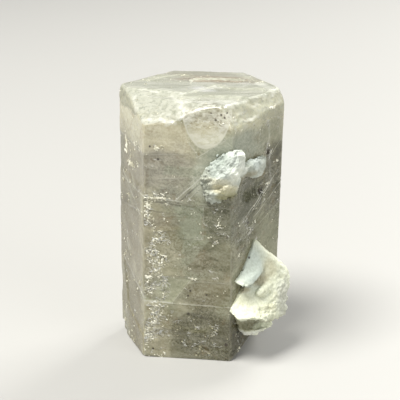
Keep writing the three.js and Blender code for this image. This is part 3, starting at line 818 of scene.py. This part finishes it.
def seam_group():
    """A thin line along a side, from one point to another."""
    places = ("Vector", "From", "To")
    tree, given, exit_node = new_group("seam", places, ("Width",), ("Line",))
    run = vectors(tree, "SUBTRACT", given["To"], given["From"])
    here = vectors(tree, "SUBTRACT", given["Vector"], given["From"])
    here = vectors(tree, "MULTIPLY", here, (1, SEAM_DEPTH_SHARE, 1))
    along = vectors(tree, "DOT_PRODUCT", here, run, "Value")
    length = vectors(tree, "DOT_PRODUCT", run, run, "Value")
    share = put(tree, "ShaderNodeClamp", {0: maths(tree, "DIVIDE", along, length)}).outputs[0]
    away = vectors(tree, "SUBTRACT", here, scaled_by(tree, run, share))
    distance = vectors(tree, "LENGTH", away, output="Value")
    fade = ramp_of(tree, noise_of(tree, given["Vector"], 0.6, 3), 0.35, 0.6, 0.25, 1.0)
    line = ramp_of(tree, maths(tree, "DIVIDE", distance, given["Width"]), 1.0, 0.25)
    fill(tree, exit_node, {"Line": product(tree, line, fade)})
    return tree


def flecks_group():
    """Painted glints of tiny chips, short ragged ones and thin wandering arcs along the threads,
    with painted shadows.
    """
    outputs = ("Bright", "PaintedShadow")
    tree, given, exit_node = new_group("flecks", ("Vector",), ("Share",), outputs)
    need = maths(tree, "SUBTRACT", 0.62, product(tree, given["Share"], 0.22))
    for label, shift in (("Bright", (0, 0, 0)), ("PaintedShadow", (0.1, 0.24, 0))):
        here = vectors(tree, "ADD", given["Vector"], shift)
        short = noise_of(tree, vectors(tree, "MULTIPLY", here, (1.6, 3, 1)), 1.0, 2, 0.5, 0.7)
        glint = ramp_of(tree, short, 0.56, 0.63)
        wave = vectors(tree, "MULTIPLY", here, (0.5, 0.8, 1))
        wave = noise_of(tree, wave, 1.0, 3, 0.5, 0.9)
        arc = ramp_of(tree, maths(tree, "ABSOLUTE", maths(tree, "SUBTRACT", wave, 0.5)),
                      0.03, 0.008)
        cluster = vectors(tree, "MULTIPLY", here, (0.4, 0.6, 1))
        cluster = noise_of(tree, cluster, 1.0, 4, 0.6)
        gate = ramp_of(tree, maths(tree, "SUBTRACT", cluster, need), 0.0, 0.08)
        fleck = product(tree, maths(tree, "MAXIMUM", arc, glint), gate)
        fill(tree, exit_node, {label: fleck})
    return tree


def wisps_group():
    """Fine cloudy threads that wander along one direction: 0 dark to 1 pale."""
    places = ("Vector", "Stretch")
    tree, given, exit_node = new_group("wisps", places, ("Contrast",), ("Value",))
    stretched = vectors(tree, "MULTIPLY", given["Vector"], given["Stretch"])
    threads = noise_of(tree, stretched, 1.0, 8, 0.62, 0.8)
    low = maths(tree, "SUBTRACT", 0.5, given["Contrast"])
    high = maths(tree, "ADD", 0.5, given["Contrast"])
    fill(tree, exit_node, {"Value": ramp_of(tree, threads, low, high)})
    return tree


GROUPS = {
    "blot": blot_group(),
    "seam": seam_group(),
    "flecks": flecks_group(),
    "wisps": wisps_group(),
}


def use(tree, group, *values):
    """A group's outputs, with its inputs given in their order."""
    inputs = dict(enumerate(values))
    return put(tree, "ShaderNodeGroup", inputs, node_tree=GROUPS[group]).outputs


def blot(tree, vector, centre, radii, raggedness=0.5, softness=0.2):
    """A ragged patch, as Patch and the Rim round it."""
    return use(tree, "blot", vector, centre, radii, raggedness, softness)


def wisps(tree, vector, stretch, contrast=0.2):
    return use(tree, "wisps", vector, stretch, contrast)["Value"]


# Thin bright cracks and the edges of inner sheets: ends [across, height], half width and
# strength.
SEAMS = {
    "front": [
        ((-8.2, 11.5), (-2.6, 11.35), 0.22, 0.7), ((-2.6, 11.35), (8.3, 11), 0.17, 0.55),
        ((1.9, 15.9), (8.2, 15.8), 0.14, 0.5), ((1.35, 16.8), (-2.65, 11.4), 0.13, 0.4),
        ((-7.8, 16.2), (1.35, 16.8), 0.12, 0.4), ((2.8, 36), (-1.9, 31.6), 0.18, 0.9),
        ((3.1, 34.6), (0.4, 31.6), 0.14, 0.8), ((2.3, 36.4), (-1.6, 32.7), 0.1, 0.5),
        ((-7.8, 32.2), (-0.6, 31.4), 0.22, 0.8), ((-5, 35.6), (2.6, 36.2), 0.12, 0.35),
        ((0.3, 43.1), (2.4, 40), 0.13, 0.6), ((2.4, 40), (7.2, 43.2), 0.13, 0.6),
        ((-7.7, 40), (0.6, 40.4), 0.12, 0.35), ((-2, 31), (8, 30.4), 0.1, 0.3),
        ((-0.2, 24.3), (3.1, 24.2), 0.14, 0.5), ((3.2, 24.2), (3.3, 30.4), 0.12, 0.35),
    ],
    "left_front": [
        ((-6.3, 41), (8.4, 39.9), 0.16, 0.45), ((-5.4, 32.4), (8.2, 32.2), 0.18, 0.5),
        ((-4.6, 33.8), (6.2, 28), 0.2, 0.8), ((-1.6, 35.2), (7.4, 30.6), 0.12, 0.45),
        ((-3.6, 27.4), (8.1, 29), 0.16, 0.45), ((-4.1, 15.9), (7.8, 12.1), 0.3, 0.95),
        ((-4.6, 45.2), (4.4, 40.6), 0.14, 0.5), ((-2.4, 40), (-2.2, 38), 0.35, 0.8),
        ((-1.1, 36.9), (2, 35.6), 0.3, 0.8), ((-2.6, 20.6), (-1.2, 18.6), 0.24, 0.6),
        ((-6.6, 9.4), (3.2, 4.6), 0.12, 0.4),
    ],
    "right_front": [
        ((-4.4, 26.8), (4.8, 33.6), 0.16, 0.9), ((-1, 28.6), (6.6, 34.8), 0.15, 0.9),
        ((-0.6, 27.2), (7.6, 32.4), 0.12, 0.8), ((2, 36.4), (7.4, 40.8), 0.12, 0.5),
        ((1.4, 41.4), (7.8, 44.2), 0.1, 0.4), ((-2, 24), (7, 28.4), 0.11, 0.4),
        ((-4.6, 22.8), (-0.4, 25.4), 0.12, 0.4),
    ],
    "right_back": [
        ((-7, 24.4), (7.4, 22.2), 0.18, 0.7), ((-3.4, 11.4), (7.2, 12.8), 0.18, 0.6),
        ((-6, 40), (6, 44), 0.13, 0.5), ((-6.4, 30.2), (3.4, 36.8), 0.12, 0.5),
    ],
    "back": [
        ((-6.4, 15.4), (6.2, 13), 0.18, 0.7), ((-6.8, 26.2), (1.4, 27.6), 0.18, 0.6),
        ((-5, 33), (6, 37), 0.12, 0.5), ((-2.4, 40.6), (6.8, 42.8), 0.12, 0.4),
    ],
    "left_back": [
        ((-7.4, 17.4), (7.6, 19.2), 0.18, 0.7), ((-6.6, 42.8), (2.2, 41.6), 0.18, 0.6),
        ((-6, 30), (6, 27), 0.12, 0.5), ((-4, 9.8), (6.4, 7.6), 0.14, 0.5),
    ],
}

# Thin dark cracks and the painted shadows along the bright ones, with the same fields.
CREASES = {
    "front": [
        ((3, 35.3), (-1.6, 31), 0.22, 0.6), ((2.7, 33.9), (0.7, 31.9), 0.2, 0.5),
        ((-7.6, 31.3), (-1, 30.7), 0.22, 0.5), ((-6.4, 29.3), (-1, 28.9), 0.2, 0.35),
        ((-6, 25.2), (-1.6, 25.8), 0.2, 0.3), ((-2.4, 11.1), (8.2, 10.7), 0.16, 0.3),
    ],
    "left_front": [
        ((8.5, 40.4), (8.2, 33.6), 0.14, 0.6), ((8.2, 32), (8.1, 22), 0.12, 0.45),
        ((-4.2, 15.3), (7.6, 11.5), 0.2, 0.4),
    ],
    "right_front": [
        ((1, 29), (2.2, 33), 0.34, 0.6), ((2.6, 37.6), (3.8, 40), 0.3, 0.6),
        ((-1.6, 28.4), (6.8, 34), 0.14, 0.4), ((-3.6, 21.6), (-1.4, 24), 0.24, 0.5),
        ((-1, 24.4), (1.4, 26.6), 0.2, 0.5),
    ],
    "right_back": [((-6.6, 24), (7, 21.8), 0.14, 0.4)],
    "back": [((-6, 15), (6, 12.6), 0.14, 0.4)],
    "left_back": [((-7, 17), (7.2, 18.8), 0.14, 0.4)],
}

# Dark brown specks: centre [across, height] and radius.
SPECKS = {
    "front": [
        ((6.4, 47.6), 0.2), ((7, 47.2), 0.16), ((5.4, 46.7), 0.24), ((4.6, 47.9), 0.14),
        ((7.4, 48), 0.14), ((-5, 39.3), 0.2), ((-6.4, 41.6), 0.22), ((0.8, 14), 0.2),
        ((0.4, 13), 0.2), ((3.8, 13.4), 0.2), ((0.4, 9.3), 0.24), ((7.5, 3.4), 0.3),
        ((-6.4, 1.8), 0.24),
    ],
    "right_front": [
        ((3.2, 39), 0.5), ((1.4, 31.8), 0.6), ((-2.2, 26.4), 0.36),
    ],
    "back": [
        ((2.2, 34.6), 0.3), ((-3.4, 17.2), 0.34),
    ],
    "right_back": [((1.4, 26.8), 0.3)],
    "left_back": [
        ((2.6, 36.4), 0.3), ((-1.2, 14.2), 0.34),
    ],
}

APATITE_IOR = 1.63
BUMP_DEPTH = 0.0002

# How the sides' colours are stretched, and the darkest and palest that they may get.
LIFT = (1.31, 1.31, 1.25)
SINK = (-0.085, -0.085, -0.093)
PALEST = 0.95
DARKEST = 0.02

# The cup-shaped scoop below the front rim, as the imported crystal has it.
TONGUE_CENTRE = (3.9, 0, 49.9)
TONGUE_RADII = (4.5, 6, 8.2)


def stir(tree, place, size, reach):
    """A place that wanders by up to about half of reach, in mm, in swirls of one size."""
    drift = put(tree, "ShaderNodeTexNoise", {"Vector": place, "Scale": 1 / size, "Detail": 4.0})
    drift = vectors(tree, "SUBTRACT", drift.outputs[1], (0.5,) * 3)
    return vectors(tree, "ADD", place, scaled_by(tree, drift, reach))


def kept(tree, name, output="Fac"):
    """What a piece's mesh keeps at each point under a name."""
    return put(tree, "ShaderNodeAttribute", attribute_name=name).outputs[output]


def over(tree, mask, strength, colour, code):
    """A colour laid over another where a mask says, at one strength."""
    return blend_of(tree, product(tree, mask, strength), colour, hue(code))


def lifted(tree, colour):
    """A colour set brighter than it looks, as half the light goes into the crystal."""
    inputs = {0: colour, 1: LIFT, 2: SINK}
    colour = put(tree, "ShaderNodeVectorMath", inputs, operation="MULTIPLY_ADD").outputs[0]
    colour = vectors(tree, "MINIMUM", colour, (PALEST,) * 3)
    return vectors(tree, "MAXIMUM", colour, (DARKEST,) * 3)


def threaded(tree, colour, threads, stretch, contrast, strength):
    level = wisps(tree, threads, stretch, contrast)
    tone = blend_of(tree, level, hue("454233"), hue("fffdf0"))
    return blend_of(tree, strength, colour, tone)


def crystal_colour(tree, place):
    """The crystal's clouds, panes, seams, frost and flecks as one colour, with painted glints,
    shadows and edge highlight.
    """
    warped = stir(tree, place, 3.3, 1.6)
    nearly = stir(tree, place, 1.6, 0.35)
    threads = kept(tree, "threads", "Vector")
    threads = stir(tree, threads, 2.6, 1.6)
    broken = kept(tree, "broken")
    views = {side: side_view(tree, nearly, side) for side in SIDES}
    colour = kept(tree, "paint", "Vector")
    colour = threaded(tree, colour, threads, (0.16, 0.42, 1), 0.16, 0.13)
    colour = threaded(tree, colour, threads, (0.12, 0.9, 1), 0.18, 0.08)
    uneven = ramp_of(tree, noise_of(tree, place, 0.2, 3), 0.35, 0.65, 0.08, 0.2)
    mottle = maths(tree, "MAXIMUM", uneven, product(tree, broken, 0.26))
    colour = threaded(tree, colour, threads, (2.1, 2.4, 1), 0.13, mottle)
    stain = ramp_of(tree, noise_of(tree, warped, 0.45, 5, 0.65), 0.56, 0.68)
    colour = lifted(tree, over(tree, stain, 0.3, colour, "8a7358"))

    # Dark cracks and their painted shadows first, then the bright seams.
    for cracks, code in ((CREASES, "2f2b1c"), (SEAMS, "f2f2e4")):
        for side, rows in cracks.items():
            for (left, level), (right, other), width, strength in rows:
                start, end = (left, 0, level), (right, 0, other)
                line = use(tree, "seam", views[side], start, end, width)["Line"]
                colour = over(tree, line, strength, colour, code)

    flecks = use(tree, "flecks", threads, broken)
    # Painted shadows beside the chips, then painted glints on them.
    colour = over(tree, flecks["PaintedShadow"], 0.5, colour, "39331f")
    colour = over(tree, flecks["Bright"], 0.9, colour, "fffff8")
    colour = capped(tree, colour, place, threads)
    frost = kept(tree, "frost")
    swirl = wisps(tree, warped, (0.9, 0.9, 1.1), 0.13)
    icing = product(tree, ramp_of(tree, swirl, 0.0, 1.0, 0.3, 1.0), frost)
    colour = blend_of(tree, icing, colour, hue("cccdbb"))
    dim = product(tree, ramp_of(tree, swirl, 0.5, 0.0), frost)
    colour = over(tree, dim, 0.6, colour, "a0a48e")
    bits = ramp_of(tree, noise_of(tree, warped, 1.7, 4, 0.7), 0.52, 0.62)
    colour = over(tree, product(tree, bits, frost), 0.55, colour, "888d7b")
    # White streaks round the top: frost, and a painted highlight along the front rim.
    crisp = ramp_of(tree, noise_of(tree, warped, 1.1, 5, 0.7), 0.36, 0.56, 0.35, 1.0)
    white = product(tree, kept(tree, "white"), crisp)
    colour = over(tree, white, 0.9, colour, "fbfbee")
    colour = cupped(tree, colour, place, warped)
    for side, rows in SPECKS.items():
        for (across, level), radius in rows:
            speck = blot(tree, views[side], (across, 0, level), (radius, REACH_IN, radius), 1.2)
            colour = over(tree, speck["Patch"], 0.85, colour, "33220f")
    # Painted highlight: pale along the convex edges, weaker on the top.
    calm = ramp_of(tree, kept(tree, "top"), 0.0, 1.0, 1.0, 0.25)
    edge = product(tree, kept(tree, "edge"), calm)
    return over(tree, edge, 0.5, colour, "f6f5e8"), frost, broken


# Pale bands on the top: centre [x, y], half sizes, colour and strength.
TOP_BANDS = [
    ((1.6, -2.4), (2.2, 1.4), "ffffff", 0.5),
    ((10.4, 3), (3, 1), "fffff4", 0.5),
    ((-6, 3), (5, 1.4), "c3c4ae", 0.6),
    ((3, -5.4), (5, 1.6), "bfc1ae", 0.6),
    ((-1, 10.5), (9, 2.4), "a5a08c", 0.6),
]


def capped(tree, colour, place, threads):
    """The top's pale flowing bands, with a blush and brown dust in the middle."""
    flow = wisps(tree, threads, (0.08, 0.34, 1))
    cap = blend_of(tree, flow, hue("b0b29e"), hue("e4e5d6"))
    cap = threaded(tree, cap, threads, (0.3, 1.8, 1), 0.18, 0.16)
    for centre, half, code, strength in TOP_BANDS:
        band = blot(tree, place, (*centre, HEIGHT), (*half, 4), 1.4, 0.5)["Patch"]
        cap = over(tree, band, strength, cap, code)
    blush = blot(tree, place, (2.8, 6, HEIGHT), (7, 2.8, 4), 1.2, 0.5)["Patch"]
    cap = over(tree, blush, 0.7, cap, "a68f7b")
    dust = ramp_of(tree, noise_of(tree, place, 1.6, 3, 0.6), 0.56, 0.62)
    cap = over(tree, product(tree, dust, blush), 0.7, cap, "574634")
    return blend_of(tree, product(tree, kept(tree, "top"), 0.9), colour, cap)


def cupped(tree, colour, place, warped):
    """The creamy cup of the scoop below the front rim, its rim and its brown dust."""
    front = side_view(tree, place, "front")
    cup = blot(tree, front, TONGUE_CENTRE, TONGUE_RADII, 0.1, 0.03)
    level = put(tree, "ShaderNodeSeparateXYZ", {0: place}).outputs[2]
    below = ramp_of(tree, level, 49, 47.4)
    inside = product(tree, cup["Patch"], below)
    colour = over(tree, inside, 0.55, colour, "e6e3d0")
    milky = product(tree, wisps(tree, warped, (0.9, 0.9, 1.3), 0.1), inside)
    colour = over(tree, milky, 0.5, colour, "fffdf0")
    middle = blot(tree, front, (3.2, 0, 45.4), (2.2, 3, 1.4), 0.8, 0.5)["Patch"]
    colour = over(tree, middle, 0.3, colour, "e8dcae")
    dusty = blot(tree, front, (4, 0, 47.3), (4.8, 7, 2.1), 0.9, 0.4)["Patch"]
    layered = vectors(tree, "MULTIPLY", warped, (0.8, 0.8, 1.9))
    grain = noise_of(tree, layered, 1.5, 4, 0.7)
    dust = product(tree, ramp_of(tree, grain, 0.5, 0.6), dusty)
    colour = over(tree, dust, 0.6, colour, "8d8266")
    sugar = product(tree, ramp_of(tree, grain, 0.48, 0.38), dusty)
    colour = over(tree, sugar, 0.8, colour, "fffff0")
    return over(tree, product(tree, cup["Rim"], below), 0.7, colour, "fbf9e8")


def bumped(tree, height, strength):
    """The shading direction over bumps of a height."""
    inputs = {"Height": height, "Distance": BUMP_DEPTH, "Strength": strength}
    return put(tree, "ShaderNodeBump", inputs).outputs[0]


def crystal_material():
    material, tree, shader, place = new_material("cloudy apatite")
    colour, frost, broken = crystal_colour(tree, place)
    dull = maths(tree, "MAXIMUM", frost, product(tree, broken, 0.4))
    fill(tree, shader, {
        "Base Color": colour,
        "Transmission Weight": 0.5,
        "Roughness": ramp_of(tree, dull, 0.0, 1.0, 0.12, 0.6),
        "IOR": APATITE_IOR,
        "Normal": bumped(tree, noise_of(tree, place, 2.6, 5, 0.65), 0.25),
    })
    absorb = put(tree, "ShaderNodeVolumeAbsorption", {"Color": hue("c6c3a2"), "Density": 130})
    fill(tree, tree.nodes["Material Output"], {"Volume": absorb.outputs[0]})
    return material


# Tints on the growths: centre [x, y, z], half sizes, raggedness, softness, colour and
# strength. Some are painted shade under the lips, the blade and the spur.
MATRIX_TINTS = {
    "white_matrix": [
        ((6.9, -15.9, 38.7), (4.6, 4, 4.6), 0.6, 0.5, "b4bdb5", 0.7),
        ((4.7, -14.7, 39), (2.1, 2.6, 3), 0.9, 0.4, "939d93", 0.8),
        ((10.6, -14, 39.2), (1.3, 1.6, 3.2), 0.8, 0.5, "d8dcd0", 0.8),
        ((6, -15.8, 35.8), (3.2, 3, 1), 0.7, 0.4, "cdcab0", 0.8),
        ((7.1, -15.4, 34.7), (3, 3, 0.8), 0.7, 0.4, "dcd6b4", 0.85),
        # Painted shadow under the slab's lower lip, here and in the last row.
        ((7.9, -14.6, 33.4), (2.3, 2, 1.4), 0.8, 0.35, "989468", 0.8),
        ((3.7, -14.8, 35), (1.5, 2.4, 2.9), 0.9, 0.4, "949887", 0.8),
        # Painted shadow low on the spur.
        ((11.1, -11.3, 36.3), (2.6, 2, 0.9), 0.7, 0.4, "908a6e", 0.75),
        ((12.6, -9.7, 38.9), (2.2, 2, 2), 0.7, 0.5, "bcc7c3", 0.6),
        ((6.4, -14.9, 39.9), (1.7, 1.6, 1.9), 0.9, 0.5, "8d988e", 0.8),
        ((9.6, -15.6, 37.4), (1.4, 1.6, 1.6), 0.7, 0.5, "e8ebdd", 0.8),
        ((7.5, -14.5, 33.1), (2.2, 1.2, 0.9), 0.7, 0.4, "8a8756", 0.7),
    ],
    "cream_matrix": [
        ((11.8, -10.9, 18.6), (3.6, 3.6, 4.6), 0.4, 0.4, "b6c2b8", 0.9),
        ((11.8, -12, 14.9), (2.6, 2, 0.8), 0.8, 0.5, "c9cfc2", 0.7),
        # Painted brown shadows under the blade's lower edge, here and in the next row.
        ((13, -8.8, 15.3), (1.6, 1.9, 1.1), 0.7, 0.5, "968a62", 0.75),
        ((10.5, -12.5, 14.1), (2, 2, 0.7), 0.7, 0.4, "8d815a", 0.8),
        ((15.1, -8.2, 17.4), (1.4, 1.6, 2), 0.8, 0.5, "bab490", 0.6),
        # Painted shade in the hollow under the lip.
        ((11.9, -11.9, 7.4), (4.4, 3.6, 1.5), 0.5, 0.3, "6f6a40", 0.9),
        ((14, -10.5, 6.6), (1.6, 1.6, 1), 0.8, 0.4, "9ba08c", 0.6),
        ((11.9, -12.2, 5.2), (4, 3, 0.7), 0.6, 0.4, "e2e4d8", 0.9),
        ((11.3, -9.6, 19.8), (0.2, 0.9, 0.2), 0.1, 0.12, "12100a", 1.0),
        ((11.2, -13.4, 10), (2.2, 2, 0.6), 0.9, 0.6, "b5b28c", 0.6),
        ((14.9, -10.5, 10.3), (2, 2, 0.6), 0.9, 0.6, "bdba96", 0.6),
        ((17.8, -7.4, 11.4), (1.6, 2, 4), 0.9, 0.6, "bfc0b4", 0.75),
        ((11.1, -13.4, 12.2), (2, 2, 1.5), 0.9, 0.6, "c0bf9e", 0.6),
        ((12.5, -12.4, 10.5), (3.6, 3.6, 3), 0.6, 0.5, "cacdb3", 0.5),
    ],
}


def flake_material():
    material, tree, shader, place = new_material("glinting flakes")
    tone = ramp_of(tree, noise_of(tree, place, 0.9, 4, 0.6), 0.35, 0.65)
    pale = blend_of(tree, tone, hue("b4b098"), hue("efeddc"))
    dull = blend_of(tree, tone, hue("7d785c"), hue("b3ae92"))
    front = side_view(tree, place, "front")
    # Duller flakes low on the front: painted shade.
    low = blot(tree, front, (3.4, 0, 4), (7, 5, 7), 0.6, 0.4)["Patch"]
    fill(tree, shader, {
        "Base Color": blend_of(tree, low, pale, dull),
        "Roughness": ramp_of(tree, tone, 0.0, 1.0, 0.6, 0.35),
        "IOR": APATITE_IOR,
    })
    return material


def matrix_material(name, pale, shade):
    material, tree, shader, place = new_material(name)
    cloud = ramp_of(tree, noise_of(tree, place, 0.6, 6, 0.6), 0.3, 0.7)
    colour = blend_of(tree, cloud, hue(shade), hue(pale))
    for spot, half, ragged, softness, code, strength in MATRIX_TINTS[name]:
        patch = blot(tree, place, spot, half, ragged, softness)["Patch"]
        colour = over(tree, patch, strength, colour, code)
    grain = ramp_of(tree, noise_of(tree, place, 2.4, 5, 0.7), 0.3, 0.7)
    colour = blend_of(tree, 0.16, colour, blend_of(tree, grain, hue("6f6a52"), hue("ffffff")))
    fill(tree, shader, {
        "Base Color": colour,
        "Roughness": ramp_of(tree, grain, 0.0, 1.0, 0.5, 0.8),
        "Normal": bumped(tree, noise_of(tree, place, 3.4, 5, 0.7), 0.5),
    })
    return material


# The stage


def build_floor():
    shape = bmesh.new()
    bmesh.ops.create_grid(shape, x_segments=1, y_segments=1, size=3)
    floor = piece_of("floor", shape)
    material, tree, shader, place = new_material("pale floor")
    fill(tree, shader, {"Base Color": hue("a09f9c"), "Roughness": 0.6})
    floor.data.materials.append(material)


def aim(thing, at):
    direction = Vector(at) - thing.location
    thing.rotation_euler = direction.to_track_quat("-Z", "Y").to_euler()


def build_light(name, place, size, power, warmth):
    light = bpy.data.lights.new(name, "AREA")
    light.shape = "DISK"
    light.size = size
    light.energy = power
    light.color = warmth
    lamp = add(name, light)
    lamp.location = place
    aim(lamp, (0, 0, 0.025))


def build_camera():
    azimuth = math.radians(VIEW_AZIMUTH)
    elevation = math.radians(VIEW_ELEVATION)
    flat = math.cos(elevation)
    back = Vector((math.sin(azimuth) * flat, -math.cos(azimuth) * flat, math.sin(elevation)))
    right = Vector((math.cos(azimuth), math.sin(azimuth), 0))
    target = Vector((0, 0, VIEW_MIDDLE)) + right * VIEW_ASIDE
    lens = bpy.data.cameras.new("camera")
    lens.sensor_fit = "HORIZONTAL"
    lens.sensor_width = SENSOR
    lens.lens = LENS
    lens.clip_start = 0.01
    camera = add("camera", lens)
    camera.location = (target + back * VIEW_DISTANCE) * MM
    camera.rotation_euler = (-back).to_track_quat("-Z", "Y").to_euler()
    bpy.context.scene.camera = camera


def build_world():
    world = bpy.data.worlds.new("studio")
    world.use_nodes = True
    background = world.node_tree.nodes["Background"]
    background.inputs["Color"].default_value = (0.96, 0.98, 1, 1)
    background.inputs["Strength"].default_value = 0.3
    bpy.context.scene.world = world


build_camera()
build_world()
build_floor()
build_light("key", (-0.28, -0.28, 0.9), 0.5, 19, (1, 0.99, 0.95))
build_light("back", (0.35, 0.6, 0.5), 0.4, 6.5, (1, 0.99, 0.96))
build_light("fill", (0.6, -0.4, 0.35), 0.5, 2, (0.99, 1, 0.98))
bpy.context.scene.view_settings.view_transform = "Standard"

crystal = build_crystal()
crystal.data.materials.append(crystal_material())
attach(crystal, "root")
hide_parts("apatite_crystal")

flakes = build_flakes(crystal)
flakes.data.materials.append(flake_material())
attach(flakes, "root")

GROWTHS = [
    ("matrix_patch", "white_patch", patch_relief, "white_matrix", "bdc3b7", "959c8e"),
    ("matrix_flange", "cream_flange", flange_relief, "cream_matrix", "e6ead2", "cfd1b5"),
]
for node, name, height_at, slot, pale, shade in GROWTHS:
    growth = build_growth(node, name, height_at)
    growth.data.materials.append(matrix_material(slot, pale, shade))
    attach(growth, "root")
    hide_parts(node)
